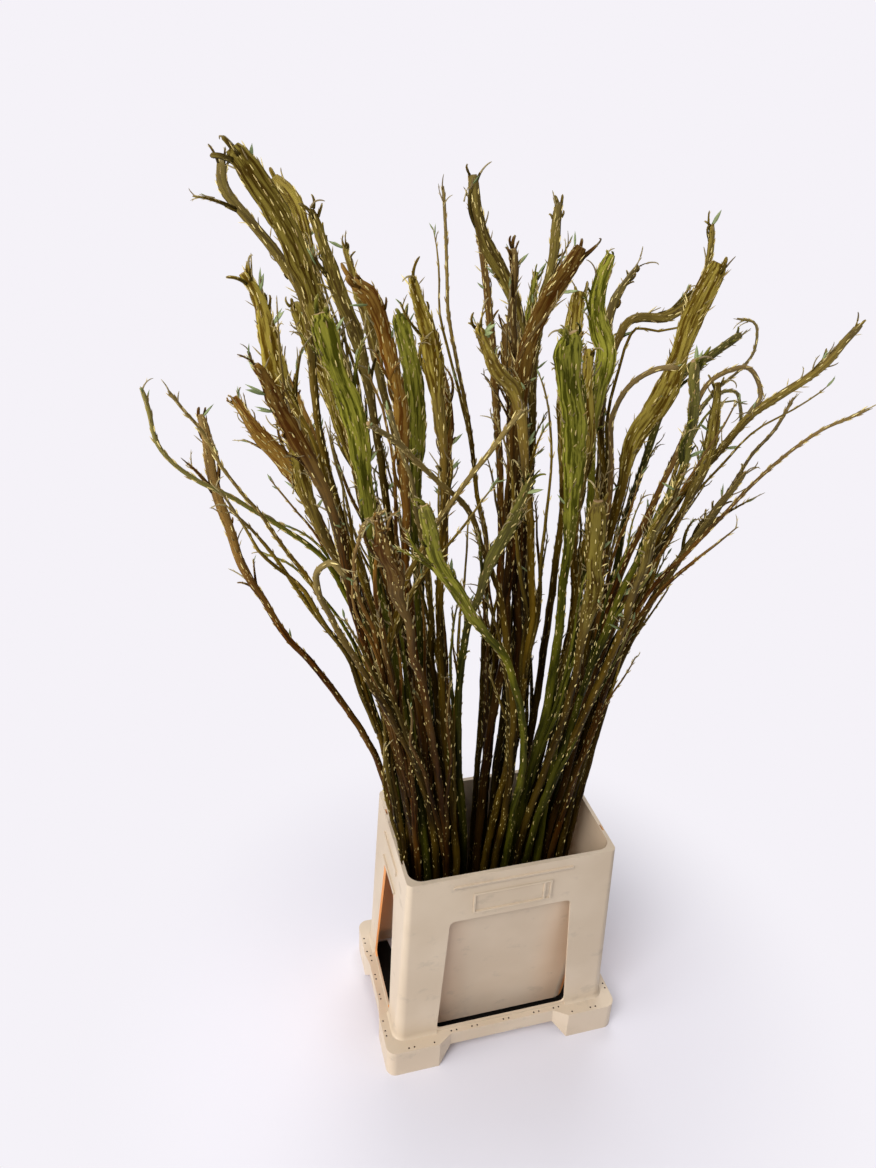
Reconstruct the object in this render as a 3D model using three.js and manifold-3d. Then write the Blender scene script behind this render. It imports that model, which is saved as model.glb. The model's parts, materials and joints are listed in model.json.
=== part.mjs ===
// Cut fantail willow stems standing in a cream plastic flower container.
// Millimetres, +Z up. The origin is on the ground under the middle of the container, +X runs along its
// long side and +Y to its back.
import * as THREE from "three";
import { mergeVertices } from "three/addons/utils/BufferGeometryUtils.js";
import Module from "manifold-3d";

const wasm = await Module();
wasm.setup();

// ---------------------------------------------------------------- container dimensions
const CONTAINER_HEIGHT = 340;
const WALL = 3;
// Half widths and corner radii of the rounded rectangles that the walls run between.
const CORNER_STEPS = 8;
const RIM_OUTSIDE = { x: 145, y: 93, r: 8 };
const RIM_MOUTH = { x: 140, y: 87, r: 18 };
const RIM_DEPTH = 18;
const SKIRT_BOTTOM = { x: 158, y: 98, r: 14 };
// The pillars of the skirt turn out into the flange in a small fillet.
const FILLET = { out: 4, up: 6 };
const FLANGE_TOP = 48;
const BUCKET_BOTTOM = { x: 119, y: 65, r: 22 };
const BUCKET_UNDERSIDE = 18;
const BUCKET_FLOOR = BUCKET_UNDERSIDE + WALL;
// The flange ring: its middle stretches stand back from the four corner pads, which carry the feet.
const PAD = { x: 173, y: 118.5, r: 14 };
const MIDDLE = { x: 169, y: 105.5 };
const FOOT_INNER = { x: 98, y: 55 };
const FOOT_SLOPE = 20;
const FLANGE_UNDERSIDE = 24;
// Windows in the skirt: the half width at the sill and at the head. The blocks that cut them end between the
// skirt and the bucket.
const SILL = 52;
const WINDOW_HEAD = 263;
const FRONT_WINDOW = { sill: 98, head: 86 };
const SIDE_WINDOW = { sill: 52, head: 30 };
const WINDOW_CORNER = 9;
const LONG_WINDOW_ENDS = { inner: 87, outer: 173 };
const SHORT_WINDOW_ENDS = { inner: 141, outer: 200 };
// Raised lines: on the long sides a grip bar and the frame for a label, on the short sides a grip bar and a
// brow over the window.
const RELIEF = 1.8;
const GRIP_BAR = { halfLength: 83, height: 4, z: 326 };
const LABEL = { halfLength: 55, bottom: 274, top: 308, line: 2.5, ribAt: 46 };
const SIDE_RELIEF = 2.4;
const SIDE_BAR = { halfLength: 38, height: 10, z: 314 };
const BROW = { halfLength: 36, height: 5, z: 273 };
const RIM_SLOT = { x: 2.6, y: 11, depth: 6, fromMiddle: 48 };

// ---------------------------------------------------------------- stem dimensions
const SIDES = 6;
const GAP = 0.6;
const FOOT_Z = BUCKET_FLOOR + 0.3;
const RIM_STATION = CONTAINER_HEIGHT + 12;
// Rings inside the bucket, as shares of the way from the foot to the rim, and rings above it.
const LOWER_RINGS = [0.36, 0.7];
const UPPER_RINGS = 13;
const RING_CROWDING = 1.35;
// A stalk tapers from its foot to its tip. A strap or crest flattens between two shares of its length.
const STALK_AT_FOOT = 1.04;
const STALK_TAPER = 0.4;
const STRAP_FLATTENS = [0.72, 0.88];
const CREST_FLATTENS = [0.8, 0.93];
const STRAP_HALF_THICKNESS = 3;
const CREST_HALF_THICKNESS = 3.4;
const BUNCHES = {
  left: { x: -88, columns: 7, pitchX: 14.5, pitchY: 27, floor: 0.84 },
  right: { x: 52, columns: 9, pitchX: 17.5, pitchY: 27, floor: 0.84 },
};

// A small repeatable random generator, so that the stems grow the same way every time.
let seed = 20431;
function random() {
  seed = (seed * 16807) % 2147483647;
  return seed / 2147483647;
}

function spread(low, high) {
  return low + (high - low) * random();
}

// ---------------------------------------------------------------- solids
function toSolid(geometry) {
  const bare = geometry.clone();
  bare.deleteAttribute("normal");
  bare.deleteAttribute("uv");
  const merged = mergeVertices(bare, 1e-4);
  return new wasm.Manifold(
    new wasm.Mesh({
      numProp: 3,
      vertProperties: Float32Array.from(merged.attributes.position.array),
      triVerts: Uint32Array.from(merged.index.array),
    })
  );
}

function toGeometry(solid) {
  const mesh = solid.getMesh();
  const geometry = new THREE.BufferGeometry();
  const corners = new Float32Array(mesh.numVert * 3);
  for (let i = 0; i < mesh.numVert; i++) {
    for (let k = 0; k < 3; k++) corners[i * 3 + k] = mesh.vertProperties[i * mesh.numProp + k];
  }
  geometry.setAttribute("position", new THREE.BufferAttribute(corners, 3));
  geometry.setIndex([...mesh.triVerts]);
  geometry.computeVertexNormals();
  return geometry;
}

// A closed body through rings of points that all hold the same number, from the lowest ring up.
function loft(rings) {
  const count = rings[0].length;
  const corners = rings.flat().flatMap((p) => [p.x, p.y, p.z]);
  const faces = [];
  for (let k = 0; k + 1 < rings.length; k++) {
    for (let i = 0; i < count; i++) {
      const a = k * count + i;
      const b = k * count + ((i + 1) % count);
      faces.push(a, b, b + count, a, b + count, a + count);
    }
  }
  const last = (rings.length - 1) * count;
  for (let i = 1; i + 1 < count; i++) {
    faces.push(0, i + 1, i);
    faces.push(last, last + i, last + i + 1);
  }
  const geometry = new THREE.BufferGeometry();
  geometry.setAttribute("position", new THREE.Float32BufferAttribute(corners, 3));
  geometry.setIndex(faces);
  geometry.computeVertexNormals();
  return geometry;
}

// ---------------------------------------------------------------- container
function roundedRing(size, z) {
  const ring = [];
  for (let corner = 0; corner < 4; corner++) {
    const sx = corner === 0 || corner === 3 ? 1 : -1;
    const sy = corner < 2 ? 1 : -1;
    for (let i = 0; i <= CORNER_STEPS; i++) {
      const angle = (corner + i / CORNER_STEPS) * (Math.PI / 2);
      ring.push(
        new THREE.Vector3(
          sx * (size.x - size.r) + size.r * Math.cos(angle),
          sy * (size.y - size.r) + size.r * Math.sin(angle),
          z
        )
      );
    }
  }
  return ring;
}

function between(low, high, share) {
  return {
    x: low.x + (high.x - low.x) * share,
    y: low.y + (high.y - low.y) * share,
    r: low.r + (high.r - low.r) * share,
  };
}

function grown(size, by) {
  return { x: size.x + by, y: size.y + by, r: Math.max(size.r + by, 2) };
}

function taper(low, zLow, high, zHigh) {
  return toSolid(loft([roundedRing(low, zLow), roundedRing(high, zHigh)]));
}

function skirtAt(z) {
  return between(SKIRT_BOTTOM, RIM_OUTSIDE, (z - FLANGE_TOP) / (CONTAINER_HEIGHT - FLANGE_TOP));
}

// The inside of the bucket at a height, which also bounds the stems.
function mouthAt(z) {
  const share = (z - BUCKET_UNDERSIDE) / (CONTAINER_HEIGHT - BUCKET_UNDERSIDE);
  return between(grown(BUCKET_BOTTOM, -WALL), RIM_MOUTH, Math.min(share, 1));
}

function block(x0, x1, y0, y1, z0, z1) {
  const box = new THREE.BoxGeometry(x1 - x0, y1 - y0, z1 - z0);
  box.translate((x0 + x1) / 2, (y0 + y1) / 2, (z0 + z1) / 2);
  return toSolid(box);
}

// A prism whose outline is drawn in x and z and which runs along y.
function prismAlongY(outline, y0, y1) {
  const prism = new THREE.ExtrudeGeometry(outline, { depth: y1 - y0, bevelEnabled: false, curveSegments: 4 });
  prism.rotateX(Math.PI / 2);
  prism.translate(0, y1, 0);
  return toSolid(prism);
}

function quarterTurned(solid) {
  return solid.rotate([0, 0, 90]);
}

function windowOutline(opening) {
  const r = WINDOW_CORNER;
  const outline = new THREE.Shape();
  outline.moveTo(-opening.sill + r, SILL);
  outline.lineTo(opening.sill - r, SILL);
  outline.quadraticCurveTo(opening.sill, SILL, opening.sill - 0.5, SILL + r);
  outline.lineTo(opening.head + 0.5, WINDOW_HEAD - r);
  outline.quadraticCurveTo(opening.head, WINDOW_HEAD, opening.head - r, WINDOW_HEAD);
  outline.lineTo(-opening.head + r, WINDOW_HEAD);
  outline.quadraticCurveTo(-opening.head, WINDOW_HEAD, -opening.head - 0.5, WINDOW_HEAD - r);
  outline.lineTo(-opening.sill + 0.5, SILL + r);
  outline.quadraticCurveTo(-opening.sill, SILL, -opening.sill + r, SILL);
  return outline;
}

// One quarter of the flange's outline, from the +X side to the +Y side, drawn in by an inset.
function flangeQuarter(inset) {
  const pad = { x: PAD.x - inset, y: PAD.y - inset, r: Math.max(PAD.r - inset, 4) };
  const points = [
    [MIDDLE.x - inset, FOOT_INNER.y - FOOT_SLOPE],
    [pad.x, FOOT_INNER.y],
  ];
  for (let i = 0; i <= CORNER_STEPS; i++) {
    const angle = (i / CORNER_STEPS) * (Math.PI / 2);
    points.push([pad.x - pad.r + pad.r * Math.cos(angle), pad.y - pad.r + pad.r * Math.sin(angle)]);
  }
  points.push([FOOT_INNER.x, pad.y], [FOOT_INNER.x - FOOT_SLOPE, MIDDLE.y - inset]);
  return points;
}

function flangeOutline(inset) {
  const quarter = flangeQuarter(inset);
  const back = [...quarter].reverse();
  const points = [
    ...quarter,
    ...back.map(([x, y]) => [-x, y]),
    ...quarter.map(([x, y]) => [-x, -y]),
    ...back.map(([x, y]) => [x, -y]),
  ];
  return new THREE.Shape(points.map(([x, y]) => new THREE.Vector2(x, y)));
}

function flangeBlock(inset, z0, z1) {
  const prism = new THREE.ExtrudeGeometry(flangeOutline(inset), { depth: z1 - z0, bevelEnabled: false });
  prism.translate(0, 0, z0);
  return toSolid(prism);
}

// The space under a middle stretch of the flange, which slopes down to the feet at both ends.
function archUnder(footInner) {
  const outline = new THREE.Shape();
  outline.moveTo(-footInner, -1);
  outline.lineTo(footInner, -1);
  outline.lineTo(footInner, 0);
  outline.lineTo(footInner - FOOT_SLOPE, FLANGE_UNDERSIDE);
  outline.lineTo(-footInner + FOOT_SLOPE, FLANGE_UNDERSIDE);
  outline.lineTo(-footInner, 0);
  return outline;
}

function buildContainer() {
  const skirt = taper(skirtAt(FLANGE_TOP - WALL), FLANGE_TOP - WALL, RIM_OUTSIDE, CONTAINER_HEIGHT);
  const skirtInside = taper(
    grown(skirtAt(FLANGE_TOP - WALL - 1), -WALL),
    FLANGE_TOP - WALL - 1,
    grown(RIM_OUTSIDE, -WALL),
    CONTAINER_HEIGHT - RIM_DEPTH
  );
  const bucket = taper(BUCKET_BOTTOM, BUCKET_UNDERSIDE, grown(RIM_MOUTH, WALL - 0.5), CONTAINER_HEIGHT - 1);
  const bucketInside = taper(
    mouthAt(BUCKET_FLOOR),
    BUCKET_FLOOR,
    mouthAt(CONTAINER_HEIGHT),
    CONTAINER_HEIGHT + 0.5
  );

  const hollow = flangeBlock(WALL, -1, FLANGE_TOP - WALL);
  const reach = SHORT_WINDOW_ENDS.outer;
  const through = grown(skirtAt(FLANGE_TOP), -WALL);
  let flange = flangeBlock(0, 0, FLANGE_TOP).subtract(hollow);
  flange = flange.subtract(taper(through, FLANGE_UNDERSIDE, through, FLANGE_TOP + 1));
  flange = flange.subtract(prismAlongY(archUnder(FOOT_INNER.x), -reach, reach));
  flange = flange.subtract(quarterTurned(prismAlongY(archUnder(FOOT_INNER.y), -reach, reach)));

  const filletTop = FLANGE_TOP + FILLET.up;
  const filletAt = [-reach, reach, FLANGE_TOP - WALL, filletTop + 1];
  const fillet = taper(
    grown(skirtAt(FLANGE_TOP), FILLET.out),
    FLANGE_TOP - 1,
    skirtAt(filletTop),
    filletTop
  )
    .subtract(block(-FRONT_WINDOW.sill, FRONT_WINDOW.sill, ...filletAt))
    .subtract(quarterTurned(block(-SIDE_WINDOW.sill, SIDE_WINDOW.sill, ...filletAt)));
  let shell = skirt.add(fillet).subtract(skirtInside);
  const longWindow = prismAlongY(
    windowOutline(FRONT_WINDOW),
    -LONG_WINDOW_ENDS.outer,
    -LONG_WINDOW_ENDS.inner
  );
  const shortWindow = quarterTurned(
    prismAlongY(windowOutline(SIDE_WINDOW), -SHORT_WINDOW_ENDS.outer, -SHORT_WINDOW_ENDS.inner)
  );
  for (const opening of [longWindow, shortWindow]) {
    shell = shell.subtract(opening).subtract(opening.rotate([0, 0, 180]));
  }
  shell = shell.add(bucket).subtract(bucketInside).add(flange);

  // The raised lines follow the skirt's lean, so each is cut from a skirt that is a little larger.
  const proudBy = (relief) =>
    taper(
      grown(skirtAt(FLANGE_TOP), relief),
      FLANGE_TOP,
      grown(RIM_OUTSIDE, relief),
      CONTAINER_HEIGHT
    ).subtract(skirtInside);
  const proud = proudBy(RELIEF);
  const long = LABEL.halfLength;
  const line = LABEL.line;
  const face = [-RIM_OUTSIDE.y - 9, -RIM_OUTSIDE.y + 1];
  const bars = [
    block(-GRIP_BAR.halfLength, GRIP_BAR.halfLength, ...face, GRIP_BAR.z - GRIP_BAR.height, GRIP_BAR.z),
    block(-long, long, ...face, LABEL.top - line, LABEL.top),
    block(-long, long, ...face, LABEL.bottom, LABEL.bottom + line),
    block(-long, -long + line, ...face, LABEL.bottom + 1, LABEL.top - 1),
    block(long - line, long, ...face, LABEL.bottom + 1, LABEL.top - 1),
    block(LABEL.ribAt - line, LABEL.ribAt, ...face, LABEL.bottom + 1, LABEL.top - 1),
  ];
  for (const bar of bars) {
    const raised = bar.intersect(proud);
    shell = shell.add(raised).add(raised.rotate([0, 0, 180]));
  }
  const side = [-RIM_OUTSIDE.x - 11, -RIM_OUTSIDE.x + 1];
  const sideProud = proudBy(SIDE_RELIEF);
  for (const bar of [SIDE_BAR, BROW]) {
    const ends = [-bar.halfLength, bar.halfLength];
    const raised = block(...side, ...ends, bar.z - bar.height, bar.z).intersect(sideProud);
    shell = shell.add(raised).add(raised.rotate([0, 0, 180]));
  }
  for (const sx of [-1, 1]) {
    for (const sy of [-1, 1]) {
      const x = sx * (RIM_MOUTH.x + RIM_OUTSIDE.x) / 2;
      const y = sy * RIM_SLOT.fromMiddle;
      const half = RIM_SLOT.y / 2;
      const z = CONTAINER_HEIGHT - RIM_SLOT.depth;
      shell = shell.subtract(
        block(x - RIM_SLOT.x / 2, x + RIM_SLOT.x / 2, y - half, y + half, z, CONTAINER_HEIGHT + 1)
      );
    }
  }
  return toGeometry(shell);
}

// ---------------------------------------------------------------- stems
// Each stem: its bunch, its stalk diameter, how it ends, how wide that end is, how far the flat end is turned
// from the long side, and the points it passes above the rim, the last being its tip.
// A strap is a flat ribbon with a blunt end, a crest swells and closes again, and a twig only tapers.
const stems = [];

function stem(name, bunch, stalk, end, width, turn, ...way) {
  stems.push({ name: `stem_${bunch}_${name}`, bunch, stalk, end, width, turn, way });
}

// The left bunch.
stem("top_strap", "left", 12, "strap", 20, 10,
  [-135, 15, 555], [-165, 20, 750], [-190, 20, 910], [-215, 28, 1015], [-250, 35, 1105], [-275, 35, 1145],
  [-295, 40, 1172]);
stem("top_fork", "left", 11, "strap", 11, 30,
  [-150, 40, 540], [-195, 55, 765], [-220, 65, 910], [-232, 80, 1030], [-262, 95, 1085], [-300, 105, 1130],
  [-302, 120, 1160]);
stem("bent_tip", "left", 11, "strap", 14, -20,
  [-140, 30, 620], [-190, 40, 900], [-212, 55, 1015], [-226, 65, 1080], [-236, 80, 1125], [-252, 90, 1146]);
stem("curly_tip", "left", 11, "crest", 15, 0,
  [-125, 0, 635], [-170, 0, 915], [-182, 0, 985], [-200, 0, 1035], [-216, 0, 1085], [-230, 0, 1125]);
stem("dark_arch", "left", 12, "strap", 15, 20,
  [-130, -20, 650], [-150, -30, 925], [-162, -38, 995], [-178, -50, 1050], [-202, -60, 1072]);
stem("broad_strap", "left", 11, "crest", 19, 5,
  [-155, -50, 600], [-220, -60, 830], [-250, -70, 940], [-280, -85, 1010], [-284, -92, 1055],
  [-300, -100, 1085]);
stem("brown_crest", "left", 12, "crest", 17, -10,
  [-170, -70, 590], [-240, -100, 880], [-272, -130, 970], [-300, -160, 1025]);
stem("far_twig", "left", 9, "twig", 6, 0,
  [-155, -40, 505], [-180, -45, 655], [-225, -45, 775], [-295, -50, 850], [-345, -50, 880], [-377, -55, 912],
  [-393, -60, 982]);
stem("brown_bow", "left", 10, "strap", 10, 0,
  [-170, 5, 505], [-235, 10, 615], [-285, 15, 685], [-310, 25, 750], [-331, 30, 812],
  [-336, 35, 865], [-345, 40, 925]);
stem("thin_whip", "left", 9, "twig", 4, 0,
  [-165, -50, 545], [-220, -70, 715], [-270, -85, 815], [-310, -105, 885], [-340, -120, 950],
  [-368, -140, 1000]);
stem("low_crest", "left", 11, "crest", 18, 0,
  [-145, 30, 545], [-195, 45, 715], [-255, 60, 850], [-290, 75, 900], [-308, 90, 928]);
stem("back_head", "left", 11, "crest", 14, 30,
  [-125, 50, 530], [-185, 75, 755], [-225, 105, 880], [-250, 150, 950]);
stem("yellow_strap", "left", 11, "strap", 17, 0,
  [-100, 20, 515], [-115, 30, 740], [-120, 45, 955], [-130, 70, 1018]);
stem("wavy_strap", "left", 11, "crest", 17, 0,
  [-100, -40, 585], [-110, -50, 905], [-118, -60, 975], [-136, -70, 1030], [-156, -90, 1080]);
stem("green_strap", "left", 12, "strap", 19, 0,
  [-130, -30, 495], [-172, -35, 730], [-200, -40, 930], [-216, -50, 985], [-232, -60, 1045]);
stem("crossing_right", "left", 10, "twig", 7, 0,
  [-165, -60, 555], [-160, -75, 725], [-140, -95, 820], [-110, -115, 885], [-65, -150, 975]);
stem("red_twig", "left", 9, "twig", 5, 0,
  [-155, -70, 560], [-214, -115, 825], [-210, -150, 870], [-198, -190, 905]);
stem("back_left_strap", "left", 12, "strap", 17, 25,
  [-100, 60, 560], [-150, 130, 760], [-190, 190, 900], [-222, 236, 1000]);
stem("back_tall", "left", 11, "crest", 14, 0,
  [-90, 50, 560], [-110, 100, 780], [-140, 150, 960], [-168, 186, 1070]);
stem("front_hook", "left", 11, "twig", 8, 0,
  [-130, -60, 520], [-185, -110, 650], [-240, -160, 780], [-262, -190, 845], [-250, -204, 868],
  [-236, -206, 850]);
stem("front_low", "left", 11, "crest", 16, -30,
  [-110, -70, 520], [-150, -130, 700], [-190, -190, 840], [-215, -232, 915]);
stem("inner_dark", "left", 12, "strap", 14, 15,
  [-80, 0, 560], [-88, 10, 740], [-84, 30, 900], [-98, 38, 985]);
stem("inner_green", "left", 11, "crest", 13, -15,
  [-75, -40, 540], [-82, -80, 700], [-66, -120, 830], [-48, -140, 905]);
stem("side_head", "left", 12, "crest", 16, 20,
  [-140, 5, 560], [-205, 0, 745], [-252, -10, 880], [-262, -20, 952]);
stem("middle_brown", "left", 11, "strap", 13, 30,
  [-120, 20, 560], [-150, 60, 760], [-178, 100, 920], [-196, 122, 990]);
stem("middle_twig", "left", 10, "twig", 6, 0,
  [-95, -20, 560], [-120, -50, 760], [-150, -74, 890], [-176, -90, 962]);

// The right bunch.
stem("whip", "right", 8.5, "twig", 5, 0,
  [-10, 50, 635], [-22, 65, 760], [-50, 75, 910], [-70, 88, 1005], [-71, 100, 1075],
  [-76, 110, 1140]);
stem("tall_strap", "right", 11, "strap", 13, 0,
  [20, 25, 730], [5, 25, 930], [-15, 30, 1040], [-42, 30, 1080], [-58, 35, 1112],
  [-64, 40, 1155]);
stem("tall_brown", "right", 11, "strap", 12, 40,
  [0, 46, 715], [-15, 80, 935], [-16, 110, 1020], [-24, 130, 1082]);
stem("front_fork", "right", 11, "crest", 14, -20,
  [5, -50, 515], [-10, -65, 780], [-45, -80, 970], [-72, -100, 992], [-105, -130, 1045]);
stem("dark_strap", "right", 12, "strap", 12, 60,
  [15, -10, 485], [-5, -15, 755], [-25, -20, 955], [-34, -24, 1040], [-42, -30, 1095]);
stem("cut_strap", "right", 11, "strap", 12, 10,
  [45, 75, 760], [36, 95, 960], [50, 112, 1010], [68, 140, 1080], [80, 160, 1122]);
stem("orange_strap", "right", 13, "strap", 17, 0,
  [-15, -25, 705], [-26, -30, 900], [-26, -38, 985], [-10, -48, 1045], [15, -60, 1100]);
stem("wide_head", "right", 12, "crest", 23, 0,
  [86, 0, 735], [80, 5, 945], [80, 5, 1000], [66, 5, 1042], [80, 10, 1085]);
stem("twiggy_head", "right", 11, "crest", 12, 0,
  [130, 70, 745], [141, 108, 925], [148, 135, 1000], [175, 160, 1030], [200, 180, 1048]);
stem("front_slab", "right", 13, "strap", 24, 10,
  [40, -50, 510], [30, -70, 775], [12, -88, 955], [-8, -108, 1010], [-14, -118, 1034]);
stem("swan_neck", "right", 10, "crest", 13, 0,
  [120, 35, 775], [104, 40, 940], [112, 42, 992], [142, 45, 1018], [182, 50, 1016],
  [210, 52, 1036], [224, 56, 1072], [221, 60, 1110]);
stem("brown_arch", "right", 10, "twig", 8, 0,
  [100, -30, 485], [95, -40, 755], [80, -48, 935], [90, -65, 980], [125, -80, 990]);
stem("great_strap", "right", 14, "strap", 25, 0,
  [110, 0, 560], [112, 0, 735], [134, 0, 880], [165, 0, 955], [185, 0, 1030], [202, 0, 1078]);
stem("yellow_fork", "right", 11, "strap", 11, 0,
  [168, 75, 635], [200, 85, 855], [236, 100, 922], [285, 118, 950], [338, 140, 970]);
stem("curl_tip", "right", 10, "twig", 5, 0,
  [198, 85, 625], [236, 100, 790], [290, 120, 885], [342, 142, 918], [386, 170, 948],
  [388, 186, 974], [368, 198, 978]);
stem("hooked_arch", "right", 12, "twig", 7, 0,
  [100, -30, 485], [110, -35, 700], [154, -40, 850], [174, -46, 930], [182, -56, 968], [208, -60, 984],
  [230, -62, 974], [237, -66, 950], [224, -70, 934]);
stem("green_arch", "right", 10, "twig", 6, 0,
  [185, 40, 710], [225, 45, 840], [248, 55, 902], [282, 66, 922], [308, 72, 906],
  [324, 80, 872]);
stem("far_bud", "right", 12, "strap", 10, 0,
  [150, 0, 540], [172, 0, 675], [220, 0, 832], [256, 0, 876], [300, -5, 922], [350, -5, 955],
  [393, -8, 1012]);
stem("thin_dark", "right", 9, "twig", 6, 0,
  [182, 45, 580], [262, 50, 725], [336, 60, 830], [372, 68, 876], [389, 74, 905]);
stem("low_red", "right", 9, "twig", 5, 0,
  [110, -40, 490], [142, -55, 700], [200, -65, 785], [240, -80, 862], [290, -100, 915], [330, -122, 950]);
stem("pale_strap", "right", 10, "strap", 11, 20,
  [65, -70, 520], [95, -90, 730], [124, -112, 865], [112, -145, 960], [88, -170, 1020]);
stem("yellow_crossing", "right", 11, "strap", 13, 0,
  [10, -78, 550], [-50, -104, 685], [-95, -125, 755], [-132, -142, 820], [-158, -168, 898]);
stem("long_crossing", "right", 10, "twig", 7, 0,
  [5, -60, 495], [-30, -80, 685], [-85, -100, 840], [-132, -122, 898], [-180, -160, 952], [-214, -200, 985]);
stem("back_right_strap", "right", 12, "strap", 18, -25,
  [80, 60, 560], [110, 130, 760], [124, 190, 900], [150, 236, 1010]);
stem("back_middle", "right", 11, "crest", 15, 0,
  [50, 60, 560], [40, 110, 780], [56, 160, 940], [72, 196, 1040]);
stem("front_right", "right", 11, "crest", 17, 30,
  [70, -70, 520], [72, -130, 700], [60, -190, 850], [56, -232, 938]);
stem("front_middle", "right", 11, "strap", 15, -20,
  [50, -70, 520], [36, -130, 690], [12, -180, 820], [-8, -206, 905]);
stem("inner_right", "right", 12, "crest", 18, 0,
  [70, -20, 560], [64, -30, 760], [52, -34, 920], [44, -36, 1000]);
stem("outer_right", "right", 12, "crest", 15, 0,
  [150, 20, 560], [196, 10, 745], [216, -20, 880], [206, -30, 958]);
stem("middle_brown", "right", 11, "strap", 14, -30,
  [35, 10, 560], [28, 40, 760], [8, 70, 920], [2, 92, 1000]);
stem("side_lean", "right", 10, "crest", 11, 0,
  [130, -10, 520], [172, -30, 690], [206, -60, 800], [226, -84, 872]);

// Every stem of a bunch gets its own place at the rim: in columns from left to right by where it leans, and
// in each column from front to back.
function placeAtRim(bunchName) {
  const bunch = BUNCHES[bunchName];
  const members = stems.filter((s) => s.bunch === bunchName);
  const rise = (s) => s.way[0][2] - CONTAINER_HEIGHT / 2;
  const leanX = (s) => (s.way[0][0] - bunch.x) / rise(s);
  const leanY = (s) => s.way[0][1] / rise(s);
  members.sort((a, b) => leanX(a) - leanX(b));
  const tall = Math.ceil(members.length / bunch.columns);
  for (let column = 0; column < bunch.columns; column++) {
    const inColumn = members.slice(column * tall, (column + 1) * tall);
    inColumn.sort((a, b) => leanY(a) - leanY(b));
    inColumn.forEach((s, row) => {
      const x = bunch.x + (column - (bunch.columns - 1) / 2) * bunch.pitchX + spread(-2, 2);
      const y = (row - (inColumn.length - 1) / 2) * bunch.pitchY + spread(-3, 3);
      s.rim = [x, y];
      s.foot = [bunch.x * 0.9 + (x - bunch.x) * bunch.floor, y * bunch.floor];
    });
  }
}

placeAtRim("left");
placeAtRim("right");

// The centre line: straight inside the bucket, then a smooth curve with rings that crowd toward the tip.
function centreLine(s) {
  const foot = new THREE.Vector3(s.foot[0], s.foot[1], FOOT_Z);
  const rim = new THREE.Vector3(s.rim[0], s.rim[1], RIM_STATION);
  const points = [foot, ...LOWER_RINGS.map((share) => foot.clone().lerp(rim, share))];
  const below = points[points.length - 1];
  const above = new THREE.CatmullRomCurve3(
    [below, rim, ...s.way.map((p) => new THREE.Vector3(...p))],
    false,
    "centripetal"
  );
  const share = below.distanceTo(rim) / above.getLength();
  for (let k = 0; k <= UPPER_RINGS; k++) {
    const left = 1 - k / UPPER_RINGS;
    points.push(above.getPointAt(1 - (1 - share) * Math.pow(left, RING_CROWDING)));
  }
  return points;
}

// Half the width and half the thickness of a stem at a share of its length.
function sectionAt(s, t) {
  const stalk = (s.stalk / 2) * (STALK_AT_FOOT - STALK_TAPER * t);
  const end = s.width / 2;
  const flattens = s.end === "crest" ? CREST_FLATTENS : STRAP_FLATTENS;
  const swell = THREE.MathUtils.smoothstep(t, ...flattens);
  if (s.end === "twig") {
    const thin = THREE.MathUtils.smoothstep(t, 0.5, 1);
    const r = stalk + (end * 0.7 - stalk) * thin;
    return [r, r];
  }
  if (s.end === "crest") {
    const close = 1 - 0.55 * THREE.MathUtils.smoothstep(t, 0.92, 1);
    const flat = stalk + (Math.min(stalk, CREST_HALF_THICKNESS) - stalk) * swell;
    return [(stalk + (end - stalk) * swell) * close, flat * close];
  }
  const blunt = 1 - 0.2 * THREE.MathUtils.smoothstep(t, 0.97, 1);
  const flat = stalk + (Math.min(stalk, STRAP_HALF_THICKNESS) - stalk) * swell;
  return [(stalk + (end - stalk) * swell) * blunt, flat];
}

for (const s of stems) {
  s.line = centreLine(s);
  const lengths = [0];
  for (let k = 1; k < s.line.length; k++) {
    lengths.push(lengths[k - 1] + s.line[k].distanceTo(s.line[k - 1]));
  }
  s.share = lengths.map((v) => v / lengths[lengths.length - 1]);
  s.sections = s.share.map((t) => sectionAt(s, t));
  s.reach = s.sections.map(([a, b]) => Math.max(a, b) * 1.05);
  // Willow grows with a slight change of direction at each bud.
  for (let k = 4; k + 2 < s.line.length; k++) {
    s.line[k].x += spread(-3, 3);
    s.line[k].y += spread(-3, 3);
  }
  s.start = s.line.map((p) => p.clone());
}

// ---------------------------------------------------------------- easing the stems apart
// Where two stems touch, each gives way by half, as bundled stems do, until all are clear of one another.
const EASING_ROUNDS = 260;
const SETTLING_ROUNDS = 60;
const GOOD_ENOUGH = 0.15;
const SPRING = 0.12;
// The rings from the foot to the rim keep their heights.
const FIRM_RINGS = 4;

// The closest points of two straight stretches, as shares along each.
function closest(a0, a1, b0, b1) {
  const u = a1.clone().sub(a0);
  const v = b1.clone().sub(b0);
  const w = a0.clone().sub(b0);
  const a = u.dot(u);
  const b = u.dot(v);
  const c = v.dot(v);
  const d = u.dot(w);
  const e = v.dot(w);
  const clamp = (n) => Math.min(Math.max(n, 0), 1);
  const det = a * c - b * b;
  let s = det > 1e-6 ? clamp((b * e - c * d) / det) : 0.5;
  const t = clamp((b * s + e) / c);
  s = clamp((b * t - d) / a);
  return [s, t];
}

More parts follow.
